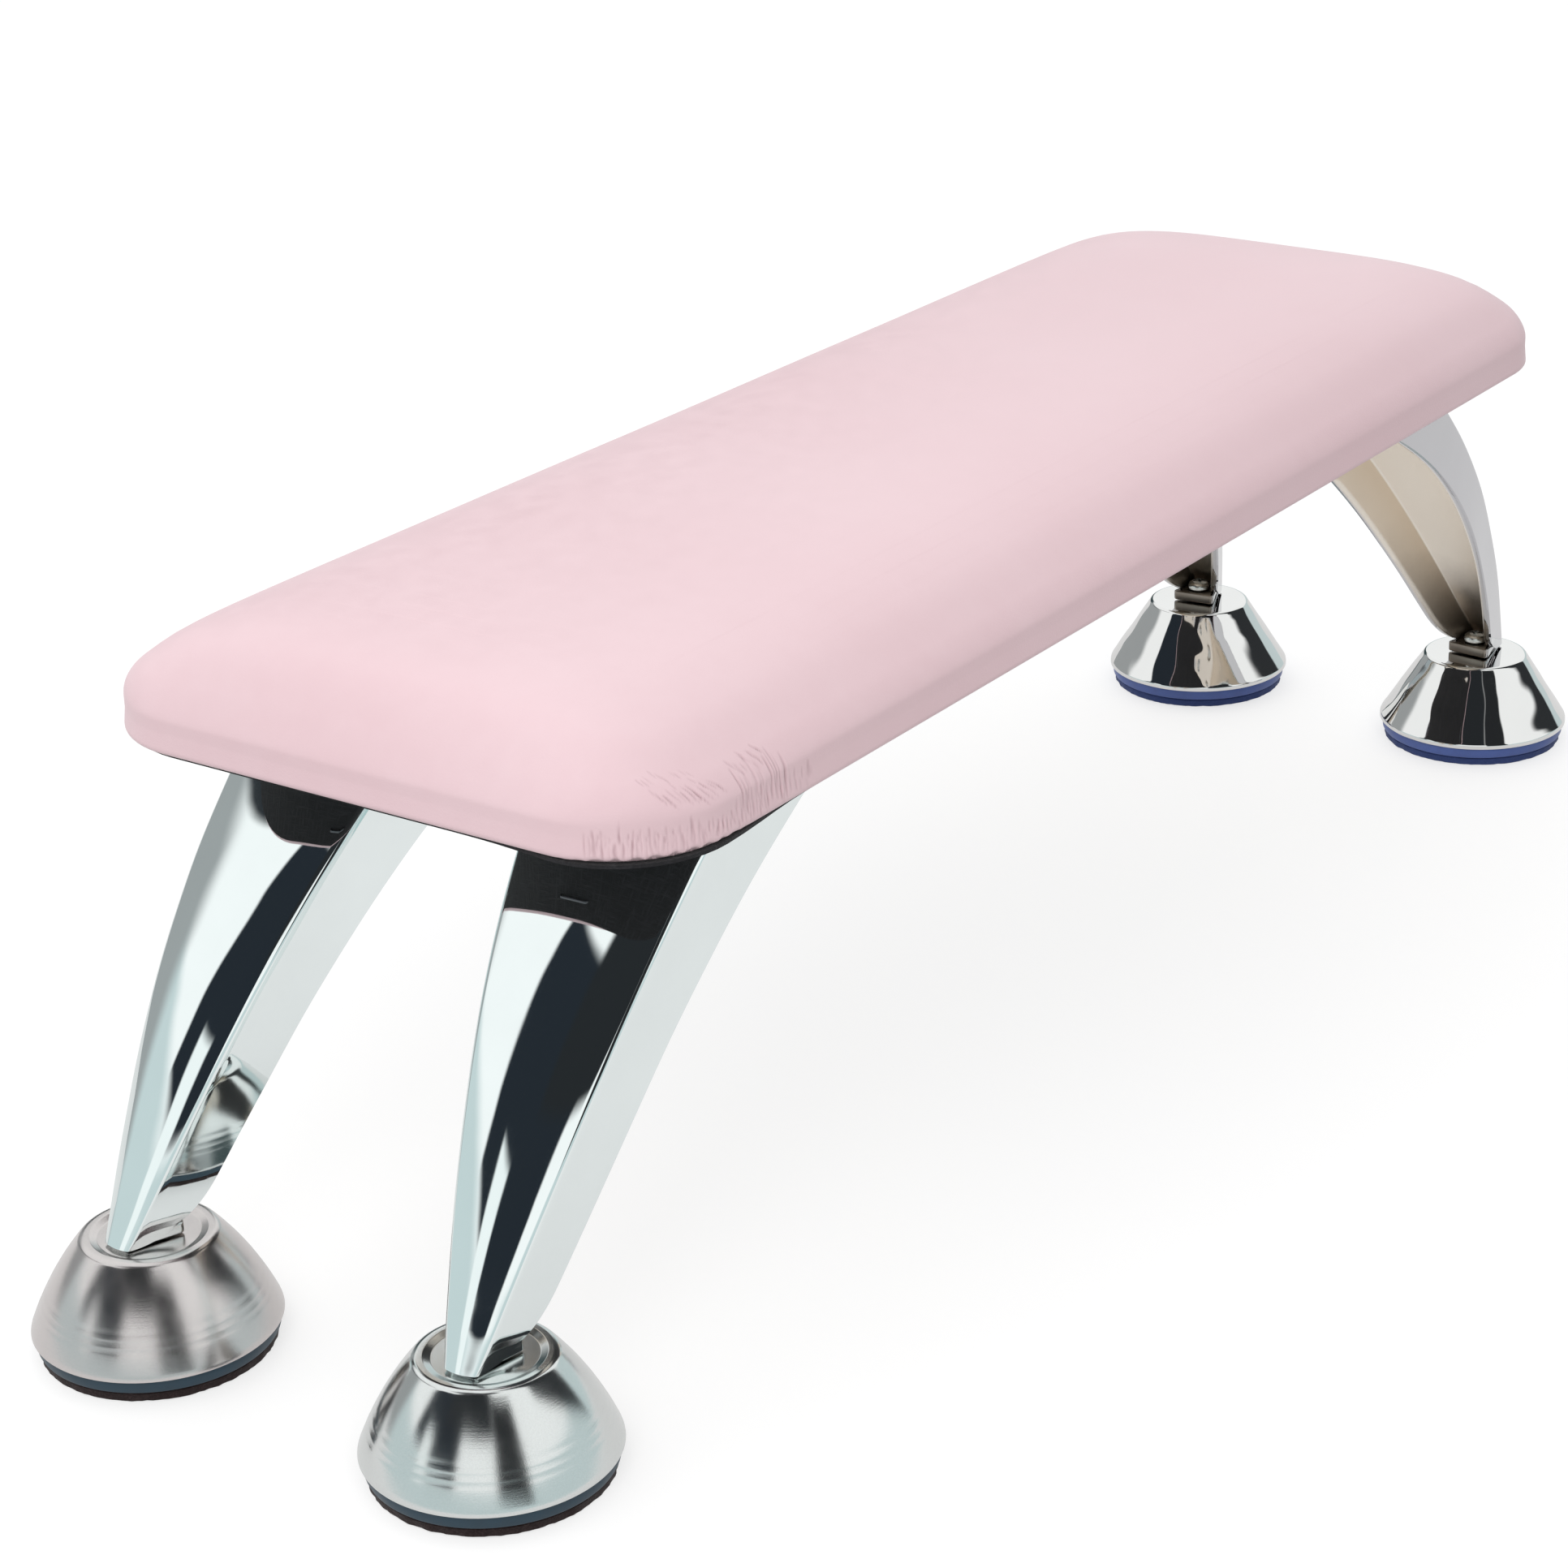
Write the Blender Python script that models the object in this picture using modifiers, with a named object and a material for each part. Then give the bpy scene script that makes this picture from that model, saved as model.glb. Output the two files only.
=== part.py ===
"""Manicure hand rest: a padded arm rest, upholstered in thin artificial leather, on four chromed
horn-shaped legs, each bolted to a cone foot with a plastic base ring and a felt pad.

X runs along the pad, with the front end at -X. Y runs across it, with the left side at +Y.
Z is up, and the felt pads stand on z = 0, under the middle of the pad. All sizes are in metres.
"""
import math

import bmesh
import bpy
from mathutils import Matrix, Vector

# Clearance kept between neighbouring pieces
GAP = 0.0003

# Pad
PAD_LENGTH = 0.330
PAD_WIDTH = 0.121
PAD_CORNER = 0.0205          # radius of the corners seen from above
LEAST_CORNER_SHARE = 0.15    # least corner radius of an inset outline, as a share of the pad's
PAD_WALL = 0.0060            # upright side of the pad, below the roll of its edge
EDGE_ROLL = 0.0036           # how far in from the edge that roll reaches
EDGE_RISE = 0.0026           # and how high
PAD_CROWN = 0.0131           # rise of the crown above the rolled edge
CROWN_FULLNESS_LENGTH = 24   # exponent of the crown along the pad: high is flat up to the ends
CROWN_FULLNESS_WIDTH = 4.5   # exponent of the crown across the pad
CROWN_ROLL = 0.012           # how far in from the edge the crown keeps rising steeply
ROLL_FULLNESS = 2.2
ROLL_SHARES = (0.012, 0.06, 0.15, 0.30, 0.60, 1.0)   # where points lie on it
MIDDLE_SHARES = (0.18, 0.45, 0.75)   # and between it and the middle of the pad
LOWER_EDGE = 0.0012          # rounding of the cover where it turns under the board
LEATHER = 0.0010
HEM_WIDTH = 0.014            # cover turned in under the board
BOARD_THICKNESS = 0.005
BOARD_CHAMFER = 0.0009
CLOTH_THICKNESS = 0.0006
CLOTH_INSET = 0.0016         # from the cover's edge to the dust cloth's edge
FOAM_TUCK = 0.0009           # how far the foam's lower edge stands in from the board's edge

# Staples that hold the hem and the dust cloth
STAPLE_CROWN = 0.010
STAPLE_WIRE = 0.0006
STAPLE_BITE = 0.0035         # depth of the staple's points in the board
STAPLE_INSET = 0.0070        # from the cover's edge to the line of staples
STAPLES_LONG_SIDE = 4
STAPLES_SHORT_SIDE = 2
STAPLE_TO_PLATE = 0.0251     # from the mounting plates to the nearest staple of a long side
STAPLE_PITCH_SHORT = 0.044

# Feet
FOOT_BEYOND_END = 0.0177     # from the pad's end out to the foot's centre
FOOT_FROM_SIDE = 0.0239      # from the pad's side in to the foot's centre
FELT_THICKNESS = 0.0016
FELT_RADIUS = 0.0203
RING_BAND = 0.0022           # visible height of the base ring
RING_RADIUS = 0.0208
RING_BORE = 0.012
RING_FLOOR = 0.0015
COLLAR_HEIGHT = 0.0021       # how far the ring's collar stands up inside the shell
COLLAR_WALL = 0.0016
SHELL_RADIUS = 0.02155
SHELL_HEIGHT = 0.0162
SHELL_SKIRT = 0.0032         # upright part above the rim
SHELL_SHOULDER = 0.0118      # radius where the cone would meet the flat top
SHELL_FILLET = 0.003
SHELL_WALL = 0.0012

# Legs: the front line, the depth and the half widths from the foot to the pad
LEG_HEIGHT = 0.0784
LEG_WALL = 0.0018
LEG_TURN = math.radians(5.5)  # each leg points a little outward from the pad's length
NOSE_REACH = 0.0071          # front of the leg ahead of the foot's centre
LEG_LEAN = 0.043             # even part of the lean in under the pad
LEG_SWEEP = 0.017            # cubed part of it
DEPTH_AT_FOOT = 0.0097
DEPTH_TAPER = 0.006
DEPTH_FLARE = 0.014
FLARE_POWER = 5
FRONT_HALF_AT_FOOT = 0.0031
FRONT_HALF_AT_TOP = 0.0179
FRONT_BOW = 0.25
REAR_HALF_AT_FOOT = 0.0060
REAR_HALF_AT_TOP = 0.0212
REAR_BOW = 0.46
FRONT_BULGE = 0.20           # rise of the rounded front, as a share of its half width
FRONT_SHARES = (0.6, 0.2, -0.2, -0.6)         # where points lie across the rounded front
EDGE_ROUNDING = 0.0007       # rounding at the foot where the flank meets the front
EDGE_ROUNDING_GROWTH = 0.10  # what is added to it, as a share of the front's half width
INNER_ROUNDING = 0.5         # the same edge inside the channel, as a share of the outer one
HEEL_RISE = 0.0028           # how far the flank's lower edge curves up towards the rear
HEEL_RUN = 0.9               # length of that curve, as a share of the depth at the foot
TOE_STEP = 0.0003            # the walls stop this far above the sole
SOLE_THICKNESS = 0.0022
SOLE_TAIL = 0.0013           # sole behind the flanks
SOLE_IN_WALL = 0.35          # how far the sole stands in from the outside, as a share of the wall
SOLE_CORNER = 0.0009
PLATE_THICKNESS = 0.0022
PLATE_LIP = 0.0012           # mounting plate outside the channel
PLATE_TAIL = 0.009           # mounting plate behind the flanks
PLATE_CORNER = 0.004

# Fasteners
SCREW_RADIUS = 0.00175
SCREW_HEAD_RADIUS = 0.0035
SCREW_HEAD_HEIGHT = 0.0022
SCREW_BITE = 0.0042          # length of the screw in the board
SCREW_FRONT_SETBACK = 0.0095
SCREW_REAR_SETBACK = 0.0105
SCREW_SPREAD = 0.012
BOLT_RADIUS = 0.0016
BOLT_HEAD_RADIUS = 0.0027
BOLT_HEAD_HEIGHT = 0.0019
BOLT_TAIL = 0.0012           # bolt below its nut
NUT_ACROSS_FLATS = 0.0060
NUT_HEIGHT = 0.0024
HEAD_FACE = 0.72             # flat of a pan head, as a share of its radius
HEAD_SIDE = 0.45             # upright side of a pan head, as a share of its height
POINT_FACE = 0.45            # blunt end of a shank, as a share of its radius
RECESS_WIDTH = 0.0008
RECESS_LENGTH = 1.1          # length of a recess's arms, as a share of the head's radius
RECESS_DEPTH = 0.0010

# Fineness of the round shapes
TURN_STEPS = 20
FASTENER_STEPS = 12
HOLE_SIDES = 8
CORNER_STEPS = 4
SMALL_CORNER_STEPS = 2
LEG_STATIONS = 13
SHARP_ANGLE = math.radians(35)
BOARD_EDGE_ANGLE = math.radians(60)

# Heights, from the floor up
ring_bottom = FELT_THICKNESS + GAP
ring_top = ring_bottom + RING_BAND
shell_rim = ring_top + GAP
shell_top = shell_rim + SHELL_HEIGHT
leg_bottom = shell_top + GAP
leg_top = leg_bottom + LEG_HEIGHT
cloth_bottom = leg_top + GAP
cloth_top = cloth_bottom + CLOTH_THICKNESS
pad_bottom = cloth_top + GAP
board_bottom = pad_bottom + LEATHER + GAP
board_top = board_bottom + BOARD_THICKNESS
foam_bottom = board_top + GAP
wall_top = pad_bottom + PAD_WALL

CORNERS = {
    "front_left": (-1, 1),
    "front_right": (-1, -1),
    "rear_left": (1, 1),
    "rear_right": (1, -1),
}


# Scene, collections and materials

def clear_scene():
    for item in list(bpy.data.objects):
        bpy.data.objects.remove(item, do_unlink=True)


def new_collection(name):
    collection = bpy.data.collections.new(name)
    bpy.context.scene.collection.children.link(collection)
    return collection


def new_material(name, colour, roughness, metallic=0.0):
    material = bpy.data.materials.new(name)
    material.use_nodes = True
    shader = material.node_tree.nodes["Principled BSDF"]
    shader.inputs["Base Color"].default_value = (*colour, 1.0)
    shader.inputs["Roughness"].default_value = roughness
    shader.inputs["Metallic"].default_value = metallic
    return material


def make_materials():
    return {
        "leather": new_material("pink_leather", (0.86, 0.66, 0.69), 0.45),
        "foam": new_material("foam", (0.85, 0.80, 0.60), 0.95),
        "board": new_material("plywood", (0.56, 0.40, 0.24), 0.70),
        "cloth": new_material("dust_cloth", (0.02, 0.02, 0.02), 0.90),
        "steel": new_material("staple_steel", (0.62, 0.62, 0.60), 0.35, 1.0),
        "chrome": new_material("chrome", (0.83, 0.86, 0.86), 0.06, 1.0),
        "zinc": new_material("zinc_screw", (0.70, 0.70, 0.67), 0.28, 1.0),
        "ring": new_material("blue_plastic", (0.04, 0.10, 0.18), 0.40),
        "felt": new_material("felt", (0.03, 0.02, 0.02), 0.95),
    }


def place(mesh, name, material, collection, matrix=None):
    """An object of the model. The mesh may be shared with other objects."""
    item = bpy.data.objects.new(name, mesh)
    if not mesh.materials:
        mesh.materials.append(material)
    if matrix is not None:
        item.matrix_world = matrix
    collection.objects.link(item)
    return item


def evaluated_mesh(item, merge=1e-6):
    """The item's mesh with its modifiers, as a mesh of its own. The item is removed."""
    bpy.context.view_layer.update()
    graph = bpy.context.evaluated_depsgraph_get()
    mesh = bpy.data.meshes.new_from_object(item.evaluated_get(graph), depsgraph=graph)
    shape = bmesh.new()
    shape.from_mesh(mesh)
    bmesh.ops.remove_doubles(shape, verts=shape.verts, dist=merge)
    bmesh.ops.transform(shape, matrix=item.matrix_world, verts=shape.verts)
    shape.to_mesh(mesh)
    shape.free()
    mesh.materials.clear()
    bpy.data.objects.remove(item, do_unlink=True)
    return mesh


def shade_round(mesh):
    mesh.shade_smooth()
    mesh.set_sharp_from_angle(angle=SHARP_ANGLE)


# Flat outlines and turned profiles

def round_corners(points, radii, steps):
    """A polyline with each inner corner replaced by an arc of its radius."""
    path = [Vector(points[0])]
    for before, corner, after, radius in zip(points, points[1:], points[2:], radii):
        corner = Vector(corner)
        back = (Vector(before) - corner).normalized()
        ahead = (Vector(after) - corner).normalized()
        if radius <= 0:
            path.append(corner)
            continue
        half = back.angle(ahead) / 2
        centre = corner + (back + ahead).normalized() * radius / math.sin(half)
        start = corner + back * radius / math.tan(half) - centre
        end = corner + ahead * radius / math.tan(half) - centre
        sweep = start.angle(end)
        for step in range(steps + 1):
            share = step / steps
            arm = start * math.sin((1 - share) * sweep) + end * math.sin(share * sweep)
            path.append(centre + arm / math.sin(sweep))
    path.append(Vector(points[-1]))
    return path


def closed_round_corners(points, radius, steps):
    """A closed outline with every corner rounded."""
    loop = [points[-1]] + list(points) + [points[0]]
    return round_corners(loop, [radius] * len(points), steps)[1:-1]


def outline_mesh(name, points, bottom, top):
    """A flat piece between two heights, from a filled curve."""
    curve = bpy.data.curves.new(name, "CURVE")
    curve.dimensions = "2D"
    curve.fill_mode = "BOTH"
    curve.extrude = (top - bottom) / 2
    spline = curve.splines.new("POLY")
    spline.points.add(len(points) - 1)
    for point, place_at in zip(spline.points, points):
        point.co = (place_at[0], place_at[1], 0.0, 1.0)
    spline.use_cyclic_u = True
    item = bpy.data.objects.new(name, curve)
    item.location.z = (top + bottom) / 2
    bpy.context.scene.collection.objects.link(item)
    return evaluated_mesh(item)


def turned_mesh(name, profile, closed=False, wall=0.0, steps=TURN_STEPS):
    """A turned piece from a profile of (radius, height), which runs down its outer side."""
    mesh = bpy.data.meshes.new(name)
    count = len(profile)
    edges = [(i, i + 1) for i in range(count - 1)]
    if closed:
        edges.append((count - 1, 0))
    mesh.from_pydata([(radius, 0.0, height) for radius, height in profile], edges, [])
    item = bpy.data.objects.new(name, mesh)
    bpy.context.scene.collection.objects.link(item)
    screw = item.modifiers.new("turn", "SCREW")
    screw.axis = "Z"
    screw.steps = steps
    screw.render_steps = steps
    screw.use_merge_vertices = True
    screw.merge_threshold = 1e-6
    if wall:
        shell = item.modifiers.new("wall", "SOLIDIFY")
        shell.thickness = wall
        shell.offset = -1
        shell.use_even_offset = True
    turned = evaluated_mesh(item)
    shade_round(turned)
    return turned


def cylinder_cutter(shape, centre, radius, bottom, top, sides=HOLE_SIDES):
    """Adds one upright cylinder to a cutter's mesh."""
    matrix = Matrix.Translation((centre[0], centre[1], (bottom + top) / 2))
    bmesh.ops.create_cone(shape, cap_ends=True, segments=sides, radius1=radius, radius2=radius,
                          depth=top - bottom, matrix=matrix)


def cutter_object(name, shape, collection):
    mesh = bpy.data.meshes.new(name)
    shape.to_mesh(mesh)
    shape.free()
    item = bpy.data.objects.new(name, mesh)
    item.display_type = "WIRE"
    item.hide_render = True
    collection.objects.link(item)
    return item


def combine(item, other, operation):
    tool = item.modifiers.new(operation.lower(), "BOOLEAN")
    tool.object = other
    tool.operation = operation
    tool.solver = "EXACT"
    return tool


# The pad's form

def pad_outline(inset, along_length=7, along_width=3):
    """Points around the pad's edge, set in by a distance, the same number at any inset. The straight
    sides are divided into as many lengths as asked."""
    half_length = PAD_LENGTH / 2 - inset
    half_width = PAD_WIDTH / 2 - inset
    radius = max(PAD_CORNER - inset, PAD_CORNER * LEAST_CORNER_SHARE)
    points = []
    corners = [(1, 1, 0), (-1, 1, 90), (-1, -1, 180), (1, -1, 270)]
    for index, (side_x, side_y, start) in enumerate(corners):
        centre_x = side_x * (half_length - radius)
        centre_y = side_y * (half_width - radius)
        for step in range(CORNER_STEPS + 1):
            angle = math.radians(start + 90 * step / CORNER_STEPS)
            points.append((centre_x + radius * math.cos(angle), centre_y + radius * math.sin(angle)))
        next_x, next_y, _ = corners[(index + 1) % 4]
        last = points[-1]
        if index in (0, 2):
            along = along_length
            following = (next_x * (half_length - radius), last[1])
        else:
            along = along_width
            following = (last[0], next_y * (half_width - radius))
        for step in range(1, along):
            share = step / along
            points.append((last[0] + (following[0] - last[0]) * share,
                           last[1] + (following[1] - last[1]) * share))
    return points


def edge_distance(x, y):
    """Distance of a point in from the pad's edge."""
    over_x = abs(x) - (PAD_LENGTH / 2 - PAD_CORNER)
    over_y = abs(y) - (PAD_WIDTH / 2 - PAD_CORNER)
    outside = math.hypot(max(over_x, 0.0), max(over_y, 0.0))
    return PAD_CORNER - outside - min(max(over_x, over_y), 0.0)


def crown_height(x, y):
    """Height of the pad's outer surface."""
    distance = max(edge_distance(x, y), 0.0)
    edge = math.sqrt(1 - (1 - min(distance / EDGE_ROLL, 1.0)) ** 2)
    roll = (1 - (1 - min(distance / CROWN_ROLL, 1.0)) ** ROLL_FULLNESS) ** (1 / ROLL_FULLNESS)
    along = 1 - abs(2 * x / PAD_LENGTH) ** CROWN_FULLNESS_LENGTH
    across = 1 - abs(2 * y / PAD_WIDTH) ** CROWN_FULLNESS_WIDTH
    return wall_top + EDGE_RISE * edge + PAD_CROWN * roll * max(along, 0.0) * max(across, 0.0)


def crown_insets():
    """Insets of the rings of points over the crown: close on the roll, wide in the middle."""
    roll = [CROWN_ROLL * share for share in ROLL_SHARES]
    middle = [CROWN_ROLL + (PAD_WIDTH / 2 - CROWN_ROLL) * share for share in MIDDLE_SHARES]
    return roll + middle


def ring_surface(rings):
    """A surface through rings of points, closed over the last ring."""
    shape = bmesh.new()
    loops = [[shape.verts.new(point) for point in ring] for ring in rings]
    for lower, upper in zip(loops, loops[1:]):
        count = len(lower)
        for i in range(count):
            j = (i + 1) % count
            shape.faces.new((lower[i], lower[j], upper[j], upper[i]))
    shape.faces.new(loops[-1])
    shape.normal_update()
    return shape


def crown_rings(insets):
    return [[(x, y, crown_height(x, y)) for x, y in pad_outline(inset)] for inset in insets]


def make_cover(materials, model, slots):
    """The leather: one sheet over the crown, down the sides and turned in under the board."""
    half_way = LOWER_EDGE * (1 - math.sqrt(0.5))
    lower = [(HEM_WIDTH, pad_bottom), (LOWER_EDGE, pad_bottom), (half_way, pad_bottom + half_way),
             (0.0, pad_bottom + LOWER_EDGE), (0.0, wall_top)]
    rings = [[(x, y, height) for x, y in pad_outline(inset)] for inset, height in lower]
    rings += crown_rings(crown_insets())
    shape = ring_surface(rings)
    mesh = bpy.data.meshes.new("leather_cover")
    shape.to_mesh(mesh)
    shape.free()
    shade_round(mesh)
    cover = place(mesh, "leather_cover", materials["leather"], model)
    sheet = cover.modifiers.new("leather", "SOLIDIFY")
    sheet.thickness = LEATHER
    sheet.offset = -1
    sheet.use_even_offset = True
    combine(cover, slots, "DIFFERENCE")


def make_foam(materials, model):
    """The foam: the cover's form, set in by the leather, flat on the board."""
    shape = ring_surface(crown_rings(crown_insets()[2:]))
    for vertex in shape.verts:
        vertex.co -= vertex.normal * (LEATHER + GAP)
    crown = [vertex.co.copy() for vertex in shape.verts]
    shape.free()
    count = len(pad_outline(0.0))
    crown = [crown[start:start + count] for start in range(0, len(crown), count)]
    foot = pad_outline(LEATHER + GAP + FOAM_TUCK)
    shape = ring_surface([[(x, y, foam_bottom) for x, y in foot]] + crown)
    rim = [vertex for vertex in shape.verts if abs(vertex.co.z - foam_bottom) < 1e-7]
    shape.faces.new(list(reversed(rim)))
    mesh = bpy.data.meshes.new("foam_cushion")
    shape.to_mesh(mesh)
    shape.free()
    shade_round(mesh)
    place(mesh, "foam_cushion", materials["foam"], model)


def make_board(materials, model, slots, holes):
    """The plywood board, with its upper and lower edges eased."""
    mesh = outline_mesh("base_board", pad_outline(LEATHER + GAP, 1, 1), board_bottom, board_top)
    board = place(mesh, "base_board", materials["board"], model)
    ease = board.modifiers.new("eased_edges", "BEVEL")
    ease.width = BOARD_CHAMFER
    ease.segments = 1
    ease.limit_method = "ANGLE"
    ease.angle_limit = BOARD_EDGE_ANGLE
    combine(board, holes, "DIFFERENCE")
    combine(board, slots, "DIFFERENCE")


def make_cloth(materials, model, slots, holes):
    """The dust cloth under the board and the hem."""
    mesh = outline_mesh("dust_cloth", pad_outline(CLOTH_INSET, 1, 1), cloth_bottom, cloth_top)
    cloth = place(mesh, "dust_cloth", materials["cloth"], model)
    combine(cloth, holes, "DIFFERENCE")
    combine(cloth, slots, "DIFFERENCE")


# Staples

def staple_places():
    """The middle and the turn of each staple. Those of a long side lie between the legs' plates."""
    plate_rear = PAD_LENGTH / 2 + FOOT_BEYOND_END + leg_front(1) - leg_depth(1) - PLATE_TAIL
    reach = plate_rear - STAPLE_TO_PLATE
    places = []
    for side in (1, -1):
        for i in range(STAPLES_LONG_SIDE):
            x = reach * (2 * i / (STAPLES_LONG_SIDE - 1) - 1)
            places.append(((x, side * (PAD_WIDTH / 2 - STAPLE_INSET)), 0.0))
        for i in range(STAPLES_SHORT_SIDE):
            y = (i - (STAPLES_SHORT_SIDE - 1) / 2) * STAPLE_PITCH_SHORT
            places.append(((side * (PAD_LENGTH / 2 - STAPLE_INSET), y), math.pi / 2))
    return places


def staple_mesh():
    """One staple, points up, from a bent wire."""
    wire = STAPLE_WIRE / 2
    crown = cloth_bottom - GAP - wire
    tip = board_bottom + STAPLE_BITE
    reach = STAPLE_CROWN / 2 - wire
    curve = bpy.data.curves.new("staple", "CURVE")
    curve.dimensions = "3D"
    curve.bevel_depth = wire
    curve.bevel_resolution = 0
    curve.use_fill_caps = True
    spline = curve.splines.new("POLY")
    route = [(-reach, 0, tip), (-reach, 0, crown), (reach, 0, crown), (reach, 0, tip)]
    spline.points.add(len(route) - 1)
    for point, at in zip(spline.points, route):
        point.co = (*at, 1.0)
    item = bpy.data.objects.new("staple", curve)
    bpy.context.scene.collection.objects.link(item)
    return evaluated_mesh(item)


def make_staples(materials, model):
    mesh = staple_mesh()
    for number, (centre, turn) in enumerate(staple_places(), 1):
        matrix = Matrix.Translation((*centre, 0.0)) @ Matrix.Rotation(turn, 4, "Z")
        place(mesh, f"staple_{number:02d}", materials["steel"], model, matrix)


def staple_slots(cutters):
    """A cutter for every staple's two points, through the cloth and hem and into the board."""
    shape = bmesh.new()
    reach = STAPLE_CROWN / 2 - STAPLE_WIRE / 2
    radius = (STAPLE_WIRE / 2 + GAP) * math.sqrt(2)
    for (x, y), turn in staple_places():
        for side in (1, -1):
            centre = (x + side * reach * math.cos(turn), y + side * reach * math.sin(turn))
            cylinder_cutter(shape, centre, radius, cloth_bottom - 2 * STAPLE_WIRE,
                            board_bottom + STAPLE_BITE + GAP, sides=4)
    return cutter_object("staple_slots", shape, cutters)


# Legs. Each leg is worked out in its own frame: u points outward, w across, with the foot at u = 0.

def leg_front(s):
    return NOSE_REACH - LEG_LEAN * s - LEG_SWEEP * s ** 3


def leg_front_slope(s):
    """How far the front moves in for each unit of height."""
    return (LEG_LEAN + 3 * LEG_SWEEP * s ** 2) / LEG_HEIGHT


def leg_depth(s):
    return DEPTH_AT_FOOT + DEPTH_TAPER * s + DEPTH_FLARE * s ** FLARE_POWER


def bowed(at_foot, at_top, bow, s):
    """A size that grows from the foot to the top, quicker at first by its bow."""
    return at_foot + (at_top - at_foot) * (s + bow * s * (1 - s))


def front_half(s):
    return bowed(FRONT_HALF_AT_FOOT, FRONT_HALF_AT_TOP, FRONT_BOW, s)


def rear_half(s):
    return bowed(REAR_HALF_AT_FOOT, REAR_HALF_AT_TOP, REAR_BOW, s)


def leg_path(front, rear, half_front, half_rear, corner):
    """One side of the channel's wall seen from above, from one rear edge round to the other."""
    bulge = FRONT_BULGE * half_front
    points = [(rear, half_rear), (front, half_front)]
    for share in FRONT_SHARES:
        points.append((front + bulge * (1 - share ** 2), half_front * share))
    points += [(front, -half_front), (rear, -half_rear)]
    radii = [corner, 0, 0, 0, 0, corner]
    return round_corners(points, radii, SMALL_CORNER_STEPS)


def leg_section(s):
    """The outer and inner paths of the channel's wall at a share of the leg's height."""
    front = leg_front(s)
    depth = leg_depth(s)
    half_front = front_half(s)
    half_rear = rear_half(s)
    spread = (half_rear - half_front) / depth
    side_wall = LEG_WALL * math.hypot(1, spread)
    front_wall = LEG_WALL * math.hypot(1, leg_front_slope(s))
    inner_half = half_front + spread * front_wall - side_wall
    corner = EDGE_ROUNDING + EDGE_ROUNDING_GROWTH * half_front
    outer = leg_path(front, front - depth, half_front, half_rear, corner)
    inner = leg_path(front - front_wall, front - depth, inner_half, half_rear - side_wall,
                     corner * INNER_ROUNDING)
    return outer, inner


def heel_curve(u):
    """How far the wall's lower edge stands above the sole: nothing at the front, an arc to the rear."""
    run = DEPTH_AT_FOOT * HEEL_RUN
    start = leg_front(0) - DEPTH_AT_FOOT + run
    radius = (run ** 2 + HEEL_RISE ** 2) / (2 * HEEL_RISE)
    back = min(max(start - u, 0.0), run)
    return TOE_STEP + radius - math.sqrt(radius ** 2 - back ** 2)


def channel_mesh():
    """The leg's curved channel: a loft through sections that widen and lean towards the top."""
    shape = bmesh.new()
    top = leg_top - PLATE_THICKNESS / 2
    stations = []
    for index in range(LEG_STATIONS):
        height = leg_bottom + (top - leg_bottom) * index / (LEG_STATIONS - 1)
        outer, inner = leg_section((height - leg_bottom) / LEG_HEIGHT)
        loop = []
        for u, w in [*outer, *reversed(inner)]:
            z = height + heel_curve(u) if index == 0 else height
            loop.append(shape.verts.new((u, w, z)))
        stations.append(loop)
    count = len(stations[0])
    for lower, upper in zip(stations, stations[1:]):
        for i in range(count):
            j = (i + 1) % count
            shape.faces.new((lower[i], upper[i], upper[j], lower[j]))
    for loop in (stations[0], stations[-1]):
        for i in range(count // 2 - 1):
            k = count - 1 - i
            shape.faces.new((loop[i], loop[i + 1], loop[k - 1], loop[k]))
    bmesh.ops.recalc_face_normals(shape, faces=shape.faces)
    mesh = bpy.data.meshes.new("leg_channel")
    shape.to_mesh(mesh)
    shape.free()
    return mesh


def plate_outline():
    """The mounting plate: a little larger than the channel, with a tail behind it."""
    front = leg_front(1) + FRONT_BULGE * front_half(1) + PLATE_LIP
    rear = leg_front(1) - leg_depth(1) - PLATE_TAIL
    half_front = front_half(1) + PLATE_LIP
    half_rear = rear_half(1) + PLATE_LIP
    corners = [(rear, half_rear), (rear, -half_rear), (front, -half_front), (front, half_front)]
    return closed_round_corners(corners, PLATE_CORNER, CORNER_STEPS)


def sole_outline():
    """The sole that closes the channel at the foot. Its edges end inside the walls."""
    front = leg_front(0) - LEG_WALL * SOLE_IN_WALL
    rear = leg_front(0) - DEPTH_AT_FOOT - SOLE_TAIL
    half_front = FRONT_HALF_AT_FOOT - LEG_WALL * SOLE_IN_WALL
    half_rear = REAR_HALF_AT_FOOT - LEG_WALL * SOLE_IN_WALL
    corners = [(rear, half_rear), (rear, -half_rear), (front, -half_front), (front, half_front)]
    return closed_round_corners(corners, SOLE_CORNER, SMALL_CORNER_STEPS)


def screw_places():
    """Places of the three wood screws in the leg's own frame."""
    front = leg_front(1) - SCREW_FRONT_SETBACK
    rear = leg_front(1) - leg_depth(1) - PLATE_TAIL + SCREW_REAR_SETBACK
    return [(front, 0.0), (rear, SCREW_SPREAD), (rear, -SCREW_SPREAD)]


def leg_matrix(side_x, side_y):
    """Stands a leg's own frame on its foot's centre, turned to point outward."""
    turn = math.atan2(side_y * math.sin(LEG_TURN), side_x * math.cos(LEG_TURN))
    centre = (side_x * (PAD_LENGTH / 2 + FOOT_BEYOND_END),
              side_y * (PAD_WIDTH / 2 - FOOT_FROM_SIDE), 0.0)
    return Matrix.Translation(centre) @ Matrix.Rotation(turn, 4, "Z")


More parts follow.
